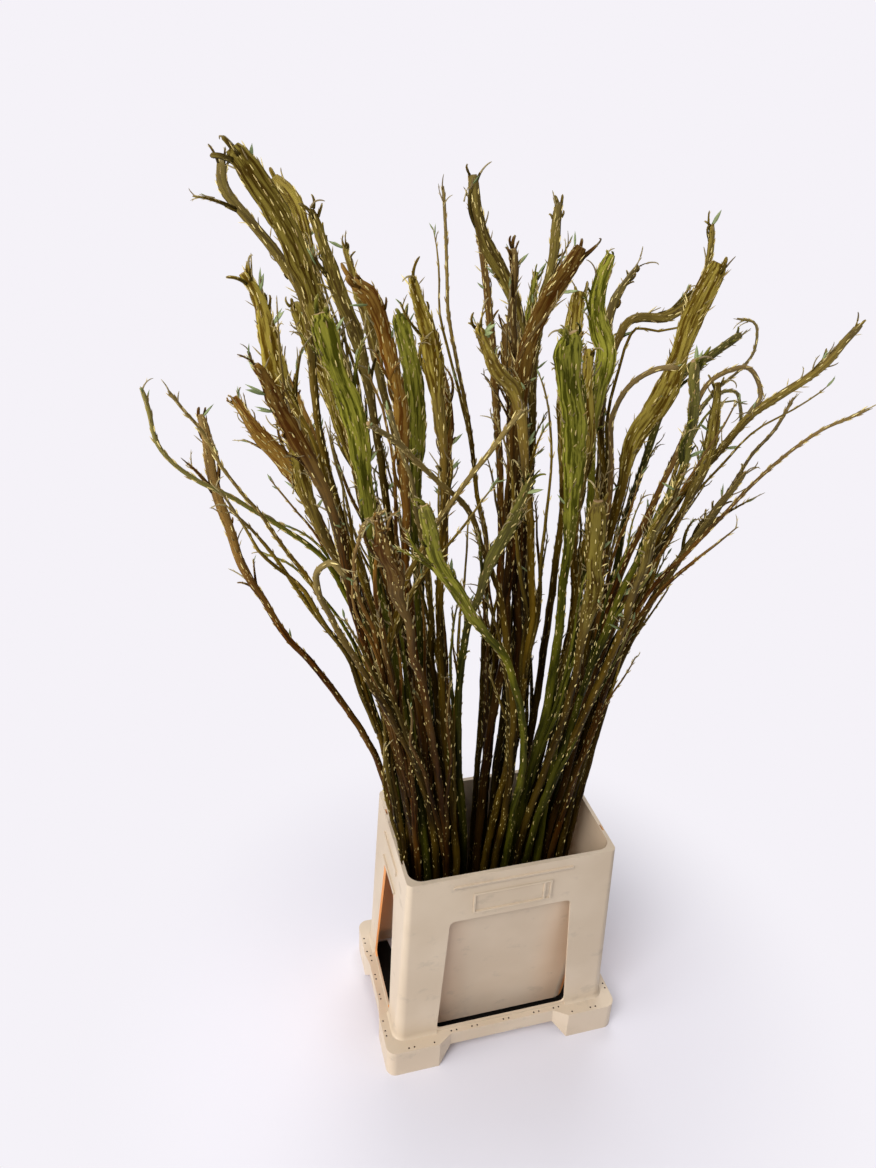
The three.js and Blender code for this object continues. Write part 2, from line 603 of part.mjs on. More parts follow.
function keepInBucket(point, reach) {
  if (point.z > RIM_STATION + 1) return;
  const room = mouthAt(point.z);
  const clear = reach + GAP;
  const hx = room.x - clear;
  const hy = room.y - clear;
  const r = Math.max(room.r - clear, 1);
  point.x = Math.min(Math.max(point.x, -hx), hx);
  point.y = Math.min(Math.max(point.y, -hy), hy);
  const dx = Math.abs(point.x) - (hx - r);
  const dy = Math.abs(point.y) - (hy - r);
  if (dx > 0 && dy > 0 && Math.hypot(dx, dy) > r) {
    const scale = r / Math.hypot(dx, dy);
    point.x = Math.sign(point.x) * (hx - r + dx * scale);
    point.y = Math.sign(point.y) * (hy - r + dy * scale);
  }
}

function give(s, k, share, push) {
  const weights = [1 - share, share];
  const total = weights[0] ** 2 + weights[1] ** 2;
  for (const side of [0, 1]) {
    const point = s.line[k + side];
    const amount = weights[side] / total;
    point.x += push.x * amount;
    point.y += push.y * amount;
    if (k + side >= FIRM_RINGS) point.z += push.z * amount;
  }
}

function easeApart() {
  let worst = 0;
  const boxes = stems.map((s) => {
    const box = new THREE.Box3().setFromPoints(s.line);
    return box.expandByScalar(Math.max(...s.reach));
  });
  for (let i = 0; i < stems.length; i++) {
    for (let j = i + 1; j < stems.length; j++) {
      if (!boxes[i].intersectsBox(boxes[j])) continue;
      const [p, q] = [stems[i], stems[j]];
      for (let k = 0; k + 1 < p.line.length; k++) {
        const reachK = Math.max(p.reach[k], p.reach[k + 1]);
        const [a0, a1] = [p.line[k], p.line[k + 1]];
        for (let l = 0; l + 1 < q.line.length; l++) {
          const need = reachK + Math.max(q.reach[l], q.reach[l + 1]) + GAP;
          const [b0, b1] = [q.line[l], q.line[l + 1]];
          if (Math.min(a0.z, a1.z) > Math.max(b0.z, b1.z) + need) continue;
          if (Math.max(a0.z, a1.z) < Math.min(b0.z, b1.z) - need) continue;
          if (Math.min(a0.x, a1.x) > Math.max(b0.x, b1.x) + need) continue;
          if (Math.max(a0.x, a1.x) < Math.min(b0.x, b1.x) - need) continue;
          if (Math.min(a0.y, a1.y) > Math.max(b0.y, b1.y) + need) continue;
          if (Math.max(a0.y, a1.y) < Math.min(b0.y, b1.y) - need) continue;
          const [s, t] = closest(a0, a1, b0, b1);
          const away = a0.clone().lerp(a1, s).sub(b0.clone().lerp(b1, t));
          const reachP = p.reach[k] + (p.reach[k + 1] - p.reach[k]) * s;
          const reachQ = q.reach[l] + (q.reach[l + 1] - q.reach[l]) * t;
          const lack = reachP + reachQ + GAP - away.length();
          if (lack <= 0) continue;
          worst = Math.max(worst, lack);
          if (away.length() < 1e-3) away.set(0, 1, 0);
          away.setLength(lack * 0.5);
          give(p, k, s, away);
          give(q, l, t, away.negate());
        }
      }
    }
  }
  return worst;
}

// A stem is springy, so a bend that easing made is shared with the rings beside it.
function shareBends(s) {
  const moved = s.line.map((p, k) => p.clone().sub(s.start[k]));
  for (let k = 1; k + 1 < s.line.length; k++) {
    const mean = moved[k - 1].clone().add(moved[k + 1]).multiplyScalar(0.5);
    s.line[k].add(mean.sub(moved[k]).multiplyScalar(SPRING));
  }
}

for (let round = 0; round < EASING_ROUNDS; round++) {
  const worst = easeApart();
  if (worst < GOOD_ENOUGH) break;
  const settling = round > EASING_ROUNDS - SETTLING_ROUNDS;
  for (const s of stems) {
    if (!settling) shareBends(s);
    s.line.forEach((point, k) => keepInBucket(point, s.reach[k]));
    s.line[0].z = FOOT_Z;
    s.line[FIRM_RINGS - 1].z = RIM_STATION;
  }
}

// ---------------------------------------------------------------- building the stems
function stemGeometry(s) {
  const up = new THREE.Vector3(0, 0, 1);
  const turn = THREE.MathUtils.degToRad(s.turn);
  let across = new THREE.Vector3(Math.cos(turn), Math.sin(turn), 0);
  let along = up.clone();
  const last = s.line.length - 1;
  const rings = s.line.map((point, k) => {
    const next = s.line[Math.min(k + 1, last)].clone().sub(s.line[Math.max(k - 1, 0)]).normalize();
    if (k === 0) next.copy(up);
    across.applyQuaternion(new THREE.Quaternion().setFromUnitVectors(along, next));
    across.addScaledVector(next, -across.dot(next)).normalize();
    along = next;
    const through = next.clone().cross(across);
    const [a, b] = s.sections[k];
    const ring = [];
    for (let i = 0; i < SIDES; i++) {
      const angle = (i / SIDES) * Math.PI * 2;
      ring.push(
        point
          .clone()
          .addScaledVector(across, a * Math.cos(angle))
          .addScaledVector(through, b * Math.sin(angle))
      );
    }
    return ring;
  });
  return loft(rings);
}

const BARK = ["#5c5a1e", "#6b4f1f", "#4d5a1c", "#7a6a24", "#4a3716"];

const willow = new THREE.Group();

function place(name, geometry, colour, roughness) {
  const material = new THREE.MeshStandardMaterial({ color: colour, roughness, metalness: 0 });
  const mesh = new THREE.Mesh(geometry, material);
  mesh.name = name;
  willow.add(mesh);
}

place("container", buildContainer(), "#e2cfb4", 0.55);
stems.forEach((s, i) => place(s.name, stemGeometry(s), BARK[i % BARK.length], 0.6));

export default willow;
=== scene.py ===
# %% [markdown]
# # Fantail willow in a flower container
# Fantail willow is cut for its flattened, crested and curled tips. Here two loose bunches of it stand in a
# cream plastic flower container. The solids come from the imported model, which is the fixed frame: this
# lesson reads every stem's line and every wall's place from it, and gives each a finer shape and a finish.

# %% Load the frame
import json
import math
import random

import bmesh
import bpy
import numpy as np
from mathutils import Color, Matrix, Vector, noise


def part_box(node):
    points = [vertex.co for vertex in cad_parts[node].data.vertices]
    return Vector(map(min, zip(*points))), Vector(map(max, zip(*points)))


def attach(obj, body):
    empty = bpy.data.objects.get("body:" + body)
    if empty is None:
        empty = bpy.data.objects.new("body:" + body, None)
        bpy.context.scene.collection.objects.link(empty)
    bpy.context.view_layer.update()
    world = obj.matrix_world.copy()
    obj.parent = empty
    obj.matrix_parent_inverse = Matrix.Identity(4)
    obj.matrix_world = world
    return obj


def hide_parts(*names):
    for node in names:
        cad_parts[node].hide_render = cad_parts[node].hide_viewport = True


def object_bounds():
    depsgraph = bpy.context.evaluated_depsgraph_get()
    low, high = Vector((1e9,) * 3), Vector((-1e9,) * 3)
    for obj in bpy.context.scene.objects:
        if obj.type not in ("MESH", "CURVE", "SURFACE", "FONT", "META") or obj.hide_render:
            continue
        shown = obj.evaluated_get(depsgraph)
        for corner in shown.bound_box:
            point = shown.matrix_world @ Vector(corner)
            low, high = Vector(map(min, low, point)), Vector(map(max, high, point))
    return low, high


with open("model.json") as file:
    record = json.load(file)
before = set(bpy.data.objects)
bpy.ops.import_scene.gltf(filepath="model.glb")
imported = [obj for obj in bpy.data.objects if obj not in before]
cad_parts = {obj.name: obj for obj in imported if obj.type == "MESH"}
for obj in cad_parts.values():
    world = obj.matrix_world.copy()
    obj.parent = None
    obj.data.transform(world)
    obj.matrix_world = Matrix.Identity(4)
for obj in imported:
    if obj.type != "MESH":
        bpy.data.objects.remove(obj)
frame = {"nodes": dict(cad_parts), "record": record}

NOISE_SEED = 3
noise.seed_set(NOISE_SEED)  # noise_vector takes its offsets from this seed, and from the clock without it

cad_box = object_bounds()
MM = 0.001
print("frame:", len(frame["nodes"]), "solids, box", [[round(x, 3) for x in corner] for corner in cad_box])

# %% [markdown]
# ## Camera
# The picture is taken from above and from the left of the container with a short lens, so the walls lean
# in towards the floor. A camera could be aimed with a constraint, but its turn is easier to keep exact as
# three angles, from which the three directions of its own frame follow.

# %% Place the camera
CAMERA_PLACE = Vector((-0.3431, -0.8672, 1.2012))
CAMERA_YAW = math.radians(-16.0)
CAMERA_DOWN = math.radians(27.93)
CAMERA_ROLL = math.radians(2.30)
ahead = Vector((
    -math.sin(CAMERA_YAW) * math.cos(CAMERA_DOWN),
    math.cos(CAMERA_YAW) * math.cos(CAMERA_DOWN),
    -math.sin(CAMERA_DOWN),
))
level = Vector((math.cos(CAMERA_YAW), math.sin(CAMERA_YAW), 0))
turn = Matrix.Rotation(-CAMERA_ROLL, 3, ahead)
sideways = turn @ level
upwards = turn @ level.cross(ahead)
camera = bpy.data.objects.new("camera", bpy.data.cameras.new("camera"))
camera.matrix_world = Matrix.Translation(CAMERA_PLACE) @ Matrix(
    (sideways, upwards, -ahead)
).transposed().to_4x4()
camera.data.sensor_width = 36
camera.data.lens = 26.95
camera.data.clip_start = 0.02
camera.data.clip_end = 200
bpy.context.scene.collection.objects.link(camera)
bpy.context.scene.camera = camera
print("camera at", [round(x, 3) for x in camera.location], "lens", camera.data.lens)

# %% [markdown]
# ## Small helpers for nodes
# Every finish is built from shader nodes. Two helpers keep that readable: one adds a node and fills or
# links its sockets, the other makes a node group with named sockets, so that an effect is built once and
# used in several finishes.

# %% Helpers for colours and nodes
def paint(red, green, blue):
    """A colour as it looks on a screen, from 0 to 255, in Blender's linear numbers."""
    seen = Color((red / 255, green / 255, blue / 255))
    return (*seen.from_srgb_to_scene_linear(), 1.0)


def node(tree, kind, feeds=None, **settings):
    made = tree.nodes.new("ShaderNode" + kind)
    for key, value in settings.items():
        setattr(made, key, value)
    for socket, value in (feeds or {}).items():
        if isinstance(value, bpy.types.NodeSocket):
            tree.links.new(value, made.inputs[socket])
        else:
            made.inputs[socket].default_value = value
    return made


def mixed(tree, share, first, second, mode="MIX"):
    """Two colours mixed by a share from 0 to 1."""
    return node(tree, "Mix", {0: share, 6: first, 7: second}, data_type="RGBA", blend_type=mode).outputs[2]


def reached(tree, value, low, high, floor=0.0, top=1.0):
    """A soft step: floor where the value is under low, top where it is over high."""
    feeds = {"Value": value, 1: low, 2: high, 3: floor, 4: top}
    return node(tree, "MapRange", feeds, interpolation_type="SMOOTHSTEP").outputs[0]


def sums(tree, how, first, second):
    return node(tree, "Math", {0: first, 1: second}, operation=how).outputs[0]


def noise_at(tree, place, stretch, detail=2.0, rough=0.5):
    """Noise whose grains have the sizes that stretch gives, in grains per metre."""
    scaled = node(tree, "Mapping", {"Vector": place, "Scale": stretch}).outputs[0]
    feeds = {"Vector": scaled, "Scale": 1.0, "Detail": detail, "Roughness": rough}
    return node(tree, "TexNoise", feeds).outputs[0]


def new_group(name, outputs):
    """A node group that reads a place and puts out masks and values."""
    group = bpy.data.node_groups.new(name, "ShaderNodeTree")
    group.interface.new_socket("Place", in_out="INPUT", socket_type="NodeSocketVector")
    for label in outputs:
        group.interface.new_socket(label, in_out="OUTPUT", socket_type="NodeSocketFloat")
    return group, group.nodes.new("NodeGroupInput").outputs, group.nodes.new("NodeGroupOutput").inputs


def use_group(tree, group, place):
    made = tree.nodes.new("ShaderNodeGroup")
    made.node_tree = group
    tree.links.new(place, made.inputs["Place"])
    return made.outputs


def new_material(name):
    material = bpy.data.materials.new(name)
    material.use_nodes = True
    return material, material.node_tree, material.node_tree.nodes["Principled BSDF"]


print("helpers ready")

# %% [markdown]
# ## Studio
# The bunch stands on a plain pale floor that runs far away, under a pale room and four large soft lights.
# A wall behind would end the picture neatly from the front, but it would stand in the way from every other
# side, so the floor glows into the colour of the room with distance and no edge shows. The ground under
# the container lies in its own deep shade, which shows through the windows, so it is painted dark.

# %% Floor
ROOM = paint(245, 242, 248)
FLOOR_PAINT = paint(217, 214, 221)
SHADE_PAINT = paint(26, 24, 22)
FLOOR_HALF = 60.0
GLOW_FROM_TO = (0.2, 0.6)
GLOW_UNSEEN = 0.45
# The shade's soft edges, in metres from the middle, and how much deeper it is beside the bucket.
SHADE_X = (0.150, 0.156)
SHADE_Y = (0.084, 0.090)
SIDE_GAP_X = (0.120, 0.126)
SIDE_GAP_MORE = 0.026
floor_mesh = bpy.data.meshes.new("floor")
bm = bmesh.new()
bmesh.ops.create_grid(bm, x_segments=1, y_segments=1, size=FLOOR_HALF)
bm.to_mesh(floor_mesh)
bm.free()
floor = bpy.data.objects.new("floor", floor_mesh)
bpy.context.scene.collection.objects.link(floor)
floor_paint, tree, shader = new_material("pale_floor")
place = node(tree, "TexCoord").outputs["Object"]
away = node(tree, "VectorMath", {0: place}, operation="LENGTH").outputs["Value"]
fade = reached(tree, away, *GLOW_FROM_TO)
place_x, place_y = node(tree, "SeparateXYZ", {0: place}).outputs[:2]
from_middle = sums(tree, "ABSOLUTE", place_x, 0.0)
from_front = sums(tree, "ABSOLUTE", place_y, 0.0)
under_x = reached(tree, from_middle, *SHADE_X, 1.0, 0.0)
more = reached(tree, from_middle, *SIDE_GAP_X, 0.0, SIDE_GAP_MORE)
under_y = reached(tree, sums(tree, "SUBTRACT", from_front, more), *SHADE_Y, 1.0, 0.0)
under = sums(tree, "MULTIPLY", under_x, under_y)
tree.links.new(mixed(tree, under, FLOOR_PAINT, SHADE_PAINT), shader.inputs["Base Color"])
shader.inputs["Roughness"].default_value = 0.9
shader.inputs["Specular IOR Level"].default_value = 0.1
by_eye = node(tree, "LightPath").outputs["Is Camera Ray"]
glow_strength = reached(tree, by_eye, 0.0, 1.0, GLOW_UNSEEN, 1.0)
glow = node(tree, "Emission", {"Color": ROOM, "Strength": glow_strength})
both = node(tree, "MixShader", {0: fade, 1: shader.outputs[0], 2: glow.outputs[0]})
tree.links.new(both.outputs[0], tree.nodes["Material Output"].inputs["Surface"])
floor_mesh.materials.append(floor_paint)
print("floor ready, shade to", SHADE_X[1], "and", SHADE_Y[1], "m")

# %% Room and lights
world = bpy.data.worlds.new("studio")
bpy.context.scene.world = world
world.use_nodes = True
tree = world.node_tree
seen = node(tree, "LightPath").outputs["Is Camera Ray"]
shown = node(tree, "Background", {"Color": ROOM, "Strength": 1.0})
lighting = node(tree, "Background", {"Color": paint(240, 240, 246), "Strength": 0.34})
both = node(tree, "MixShader", {0: seen, 1: lighting.outputs[0], 2: shown.outputs[0]})
tree.links.new(both.outputs[0], tree.nodes["World Output"].inputs["Surface"])


def soft_light(name, place, target, size, power):
    lamp = bpy.data.lights.new(name, "AREA")
    lamp.shape = "SQUARE"
    lamp.size = size
    lamp.energy = power
    holder = bpy.data.objects.new(name, lamp)
    holder.location = place
    holder.rotation_euler = (Vector(target) - Vector(place)).to_track_quat("-Z", "Y").to_euler()
    bpy.context.scene.collection.objects.link(holder)


soft_light("key_light", (-1.5, -1.5, 2.5), (0, 0, 0.5), 1.3, 62)
soft_light("side_light", (-1.8, -0.5, 0.45), (0, 0, 0.2), 1.2, 30)
soft_light("fill_light", (1.6, -1.8, 1.2), (0, 0, 0.4), 1.8, 12)
soft_light("top_light", (0.4, 1.1, 2.8), (0, 0, 0.7), 1.2, 30)
bpy.context.scene.view_settings.view_transform = "Standard"
print("studio ready")

# %% [markdown]
# ## Bark
# Willow bark is a smooth satin skin over long fibres: fine streaks run up the stem, broad patches shift
# between brown, olive and yellow-green, and pale flecks (lenticels and the scars of buds) are dashed over
# it. A picture of bark would have to be wrapped round every stem. Instead each stem carries its own place
# before it was bent, in metres, as an attribute called grown_place, so noise that is stretched along it
# follows every curl without a seam. A second attribute, growth, holds the stem's tone, how far a spot is
# part of the flattened head, and its share of the way up.

# %% Bark grain, a node group
grain, given, out = new_group("bark grain", ["Streak", "Patch", "Fleck", "Height"])
# Grains per metre: across the stem twice, then along it.
FIBRES = (420, 420, 17)
PATCHES = (55, 55, 11)
FLECKS = (520, 520, 150)
FLECK_FIELDS = (130, 130, 40)
GROOVES = (900, 900, 26)
fibre = noise_at(grain, given["Place"], FIBRES, 5.0, 0.62)
streak = reached(grain, fibre, 0.4, 0.6)
patch = reached(grain, noise_at(grain, given["Place"], PATCHES, 3.0, 0.55), 0.36, 0.66)
spots = node(grain, "Mapping", {"Vector": given["Place"], "Scale": FLECKS}).outputs[0]
cells = node(grain, "TexVoronoi", {"Vector": spots, "Scale": 1.0, "Randomness": 1.0})
where = reached(grain, noise_at(grain, given["Place"], FLECK_FIELDS), 0.5, 0.66)
spot = reached(grain, cells.outputs["Distance"], 0.16, 0.3, 1.0, 0.0)
fleck = sums(grain, "MULTIPLY", spot, where)
groove = noise_at(grain, given["Place"], GROOVES, 3.0, 0.6)
height = sums(grain, "ADD", sums(grain, "MULTIPLY", fibre, 0.7), sums(grain, "MULTIPLY", groove, 0.5))
height = sums(grain, "ADD", height, sums(grain, "MULTIPLY", fleck, 0.35))
for socket, value in zip(out, (streak, patch, fleck, height)):
    grain.links.new(value, socket)
print("node group:", grain.name)

# %% Bark finishes
PALE_FLECK = paint(196, 176, 112)
PALE_TIP = paint(144, 128, 84)
WARM_SHEEN = (1.0, 0.82, 0.5, 1.0)
FIBRE_RELIEF = 0.6 * MM


def bark(name, dark, middle, light, head):
    """The low part of a stem is darker, which is painted shade of the crowded bunch and the bucket, a slim tip
    is paler, and a flat head has a colour of its own.
    """
    material, tree, shader = new_material(name)
    place = node(tree, "Attribute", attribute_name="grown_place").outputs["Vector"]
    growth = node(tree, "Attribute", attribute_name="growth").outputs["Color"]
    tone, at_head, share = node(tree, "SeparateColor", {0: growth}).outputs[:3]
    parts = use_group(tree, grain, place)
    colour = mixed(tree, parts["Streak"], dark, middle)
    colour = mixed(tree, sums(tree, "MULTIPLY", parts["Patch"], 0.7), colour, light)
    headed = mixed(tree, parts["Streak"], middle, head)
    colour = mixed(tree, sums(tree, "MULTIPLY", at_head, 0.85), colour, headed)
    # Painted shade: every stem is darkened towards its foot, where the crowded bunch and the bucket shade it.
    low = reached(tree, share, 0.26, 0.8, 0.4, 1.08)
    toned = reached(tree, tone, 0.0, 1.0, 0.55, 1.3)
    for darker in (low, toned):
        colour = mixed(tree, 1.0, colour, darker, "MULTIPLY")
    near_tip = reached(tree, share, 0.72, 1.0, 0.0, 0.45)
    pale = sums(tree, "MULTIPLY", near_tip, sums(tree, "SUBTRACT", 1.0, at_head))
    colour = mixed(tree, pale, colour, PALE_TIP)
    colour = mixed(tree, sums(tree, "MULTIPLY", parts["Fleck"], 0.75), colour, PALE_FLECK)
    tree.links.new(colour, shader.inputs["Base Color"])
    tree.links.new(reached(tree, parts["Streak"], 0.0, 1.0, 0.6, 0.42), shader.inputs["Roughness"])
    shader.inputs["Specular IOR Level"].default_value = 0.07
    shader.inputs["Specular Tint"].default_value = WARM_SHEEN
    bump = node(tree, "Bump", {"Height": parts["Height"], "Strength": 0.75, "Distance": FIBRE_RELIEF})
    tree.links.new(bump.outputs[0], shader.inputs["Normal"])
    return material


barks = {
    "bark_olive": bark(
        "willow_olive", paint(36, 22, 3), paint(74, 53, 6), paint(106, 82, 18), paint(148, 131, 56)
    ),
    "bark_brown": bark(
        "willow_brown", paint(34, 16, 3), paint(82, 45, 8), paint(110, 76, 26), paint(128, 98, 42)
    ),
    "bark_green": bark(
        "willow_green", paint(28, 30, 4), paint(60, 60, 7), paint(98, 94, 20), paint(140, 136, 50)
    ),
}
print("barks:", list(barks))

# %% [markdown]
# ## Buds, twigs and cut ends
# The buds are yellow-brown scales that lie against the bark, the finest twigs are grey-brown, opened buds
# are grey-green, and where a stem was cut the pale wood shows. They share the bark's attributes, so one
# small recipe between two colours does for each of them.

# %% Finishes for the small parts
SMALL_RELIEF = 0.3 * MM


def small_finish(name, dark, light, rough, stretch):
    material, tree, shader = new_material(name)
    place = node(tree, "Attribute", attribute_name="grown_place").outputs["Vector"]
    growth = node(tree, "Attribute", attribute_name="growth").outputs["Color"]
    tone = node(tree, "SeparateColor", {0: growth}).outputs[0]
    grainy = noise_at(tree, place, stretch, 3.0, 0.6)
    share = sums(tree, "ADD", sums(tree, "MULTIPLY", tone, 0.75), sums(tree, "MULTIPLY", grainy, 0.35))
    colour = mixed(tree, share, dark, light)
    tree.links.new(colour, shader.inputs["Base Color"])
    tree.links.new(reached(tree, grainy, 0.3, 0.7, rough, rough + 0.15), shader.inputs["Roughness"])
    bump = node(tree, "Bump", {"Height": grainy, "Strength": 0.6, "Distance": SMALL_RELIEF})
    tree.links.new(bump.outputs[0], shader.inputs["Normal"])
    return material


small_finishes = [
    small_finish("willow_bud", paint(112, 76, 18), paint(232, 212, 138), 0.42, (600, 600, 200)),
    small_finish("willow_twig", paint(84, 64, 36), paint(152, 136, 88), 0.5, (500, 500, 40)),
    small_finish("willow_wood", paint(96, 68, 34), paint(170, 142, 92), 0.65, (900, 900, 900)),
    small_finish("willow_leaf_bud", paint(76, 90, 44), paint(140, 150, 100), 0.5, (400, 400, 120)),
]
BARK, BUD, TWIG, WOOD, LEAF = range(5)
print("small finishes:", len(small_finishes))

# %% [markdown]
# ## Reading a stem back from its solid
# A stem's solid is a chain of six-sided rings. Walking from the foot ring to the ring beside it, and on,
# gives every ring in order. The middle of a ring lies on the stem's line, and its two main directions say
# how wide and how thick the stem is there and which way its flat side faces. A springy stalk doesn't turn
# sharply where it leaves the bucket, so below the heads each ring is eased towards the line between its
# neighbours.

# %% Rings of a stem
SAME_PLACE = 1e-6
SAME_HEIGHT = 1e-4


def rings_of(solid):
    """Each ring's middle, the direction of its wide side, and its half width and half thickness."""
    bm = bmesh.new()
    bm.from_mesh(solid.data)
    bmesh.ops.remove_doubles(bm, verts=bm.verts, dist=SAME_PLACE)
    bm.verts.index_update()
    lowest = min(v.co.z for v in bm.verts)
    ring = [v for v in bm.verts if v.co.z < lowest + SAME_HEIGHT]
    seen = set(ring)
    rings = []
    while ring:
        corners = np.array([v.co for v in ring])
        middle = corners.mean(0)
        sizes, directions = np.linalg.svd(corners - middle, full_matrices=False)[1:]
        wide, thick = sizes[:2] / math.sqrt(len(ring) / 2)
        rings.append([Vector(middle), Vector(directions[0]), wide, thick])
        beyond = {e.other_vert(v) for v in ring for e in v.link_edges} - seen
        ring = sorted(beyond, key=lambda v: v.index)
        seen |= beyond
    bm.free()
    return rings


# %% A stem's line
RELAXING_ROUNDS = 4
BEND_ABOVE = 0.64
FLAT_FROM = 1.12


class StemLine:
    """A smooth line through a stem's rings, with its widths and the direction of its flat side."""

    def __init__(self, rings):
        self.middles = [r[0] for r in rings]
        self.widths = [(r[2], r[3]) for r in rings]
        for _ in range(RELAXING_ROUNDS):
            for k in range(1, len(rings) - 1):
                a, here, b = self.middles[k - 1:k + 2]
                if here.z < BEND_ABOVE:
                    share = (here - a).length / ((here - a).length + (b - here).length)
                    self.middles[k] = here.lerp(a.lerp(b, share), 0.5)
        steps = [(b - a).length for a, b in zip(self.middles, self.middles[1:])]
        self.marks = [0.0]
        for step in steps:
            self.marks.append(self.marks[-1] + step)
        self.length = self.marks[-1]
        last = len(rings) - 1
        self.slopes = []
        for k in range(last + 1):
            a, b = max(k - 1, 0), min(k + 1, last)
            before = (self.middles[k] - self.middles[a]) / max(self.marks[k] - self.marks[a], 1e-9)
            after = (self.middles[b] - self.middles[k]) / max(self.marks[b] - self.marks[k], 1e-9)
            if k == 0:
                before = after
            if k == last:
                after = before
            self.slopes.append((before + after) / 2)
        # The flat side is read from the flat rings. A round ring takes it over from the ring above.
        self.flats = [None] * (last + 1)
        flat = self.slopes[last].orthogonal()
        for k in range(last, -1, -1):
            if self.widths[k][0] > FLAT_FROM * self.widths[k][1]:
                own = rings[k][1]
                flat = own if own.dot(flat) >= 0 else -own
            along = self.slopes[k].normalized()
            flat = (flat - along * flat.dot(along)).normalized()
            self.flats[k] = flat

    def at(self, way):
        """At a length up the stem: the place, the directions along, across and through, both half widths."""
        way = min(max(way, 0.0), self.length)
        k = max(i for i in range(len(self.marks) - 1) if self.marks[i] <= way)
        span = self.marks[k + 1] - self.marks[k]
        t = (way - self.marks[k]) / span
        a, b = self.middles[k], self.middles[k + 1]
        ma, mb = self.slopes[k] * span, self.slopes[k + 1] * span
        place = a * (2 * t**3 - 3 * t**2 + 1) + ma * (t**3 - 2 * t**2 + t)
        place += b * (3 * t**2 - 2 * t**3) + mb * (t**3 - t**2)
        along = a * (6 * t**2 - 6 * t) + ma * (3 * t**2 - 4 * t + 1)
        along += b * (6 * t - 6 * t**2) + mb * (3 * t**2 - 2 * t)
        along.normalize()
        across = self.flats[k].lerp(self.flats[k + 1], t)
        across = (across - along * across.dot(along)).normalized()
        eased = t * t * (3 - 2 * t)
        wide, thick = (p + (q - p) * eased for p, q in zip(self.widths[k], self.widths[k + 1]))
        return place, along, across, along.cross(across), wide, thick


lines = {
    name: StemLine(rings_of(solid)) for name, solid in frame["nodes"].items() if name.startswith("stem_")
}
print(len(lines), "stem lines, longest", round(max(s.length for s in lines.values()), 3), "m")

# %% [markdown]
# ## Laying a rod along a line
# Every stem, prong and twig is the same idea at a different size: a straight rod, cut across into short
# lengths, and then laid along a line. The rod is a capped cylinder, and one subdivide of its long edges
# cuts it, which keeps the faces in clean rings. While it is still straight, each corner notes its place,
# so the bark's grain grows with the rod.

# %% A rod, laid along a line
scrap = bpy.data.meshes.new("scrap")


def new_part():
    """An empty mesh in the making, with the two attributes that every part of a stem carries."""
    bm = bmesh.new()
    grown = bm.verts.layers.float_vector.new("grown_place")
    growth = bm.verts.layers.float_color.new("growth")
    return bm, grown, growth


def join(whole, part):
    """Adds a part to a stem. A part is made by itself first, as an operator slows down in a large mesh."""
    part.to_mesh(scrap)
    part.free()
    whole.from_mesh(scrap)


def lay_rod(whole, sides, cuts, length, shape, finish, tone, end_finish=None, head=0.0):
    """shape(share, angle) gives a point of the skin. The rod's corners note where they grew."""
    bm, grown, growth = new_part()
    bmesh.ops.create_cone(bm, cap_ends=True, segments=sides, radius1=1, radius2=1, depth=1)
    long_edges = [e for e in bm.edges if abs(e.verts[0].co.z - e.verts[1].co.z) > 0.5]
    bmesh.ops.subdivide_edges(bm, edges=long_edges, cuts=cuts)
    offset = 10 * tone
    for v in bm.verts:
        share = v.co.z + 0.5
        angle = math.atan2(v.co.y, v.co.x)
        point, radius, headed = shape(share, angle)
        v[grown] = (radius * math.cos(angle) + offset, radius * math.sin(angle), share * length)
        v[growth] = (tone, max(head, headed), share, 1.0)
        v.co = point
    for face in bm.faces:
        is_end = len(face.verts) == sides and end_finish is not None
        face.material_index = end_finish if is_end else finish
        face.smooth = True
    join(whole, bm)


print("rod helper ready")

# %% [markdown]
# ## Buds
# A bud is a narrow drop, about three to eight millimetres long, that lies against the bark with its tip a
# little proud. On the heads some are longer and stand off like bristles, and near the tips a few have
# opened into grey-green lance shapes. Thousands are needed, so one is made, as a sphere of two dozen faces
# with its upper pole drawn out to a point, and then stamped again and again: a matrix squeezes and turns
# it on its way.

# %% The bud that is stamped
BUD_GRAIN = 3 * MM
DRAWN_OUT = Vector((0, 0.15, 0.45))
bm, grown = new_part()[:2]
made = bmesh.ops.create_uvsphere(bm, u_segments=6, v_segments=4, radius=1)
tip = max(made["verts"], key=lambda v: v.co.z)
tip.co += DRAWN_OUT
for v in bm.verts:
    v[grown] = v.co * BUD_GRAIN
for face in bm.faces:
    face.smooth = True
bud_stamp = bpy.data.meshes.new("bud")
bm.to_mesh(bud_stamp)
bm.free()
bud_corners = np.array([(*v.co, 1.0) for v in bud_stamp.vertices])
print("bud:", len(bud_stamp.polygons), "faces")

# %% Stamp a bud on a stem
CLOSE_BUD = (0.1, 0.1)
BRISTLE = (0.065, 0.065)
OPEN_LEAF = (0.15, 0.08)


def add_bud(whole, place, along, outward, size, tone, finish=BUD, lean=0.16, form=CLOSE_BUD):
    """form gives the half width and the half thickness as shares of the size."""
    axis = (along + outward * lean).normalized()
    beside = axis.cross(outward).normalized()
    out = beside.cross(axis)
    scales = (size * form[0], size * form[1], size * 0.5)
    squeeze = Matrix([d * s for d, s in zip((beside, out, axis), scales)]).transposed().to_4x4()
    matrix = Matrix.Translation(place + axis * size * 0.4) @ squeeze
    bud_stamp.vertices.foreach_set("co", (bud_corners @ np.array(matrix).T)[:, :3].ravel())
    bud_stamp.attributes["growth"].data.foreach_set("color", [tone, 0.0, 1.0, 1.0] * len(bud_corners))
    bud_stamp.polygons.foreach_set("material_index", [finish] * len(bud_stamp.polygons))
    whole.from_mesh(bud_stamp)


# %% [markdown]
# ## Prongs and curled twigs
# A crested willow head ends in short blunt prongs, and thin twigs curl out of it. Each is a rod again: it
# starts in the head, leaves in a given direction, bends evenly as it goes and tapers to its tip.

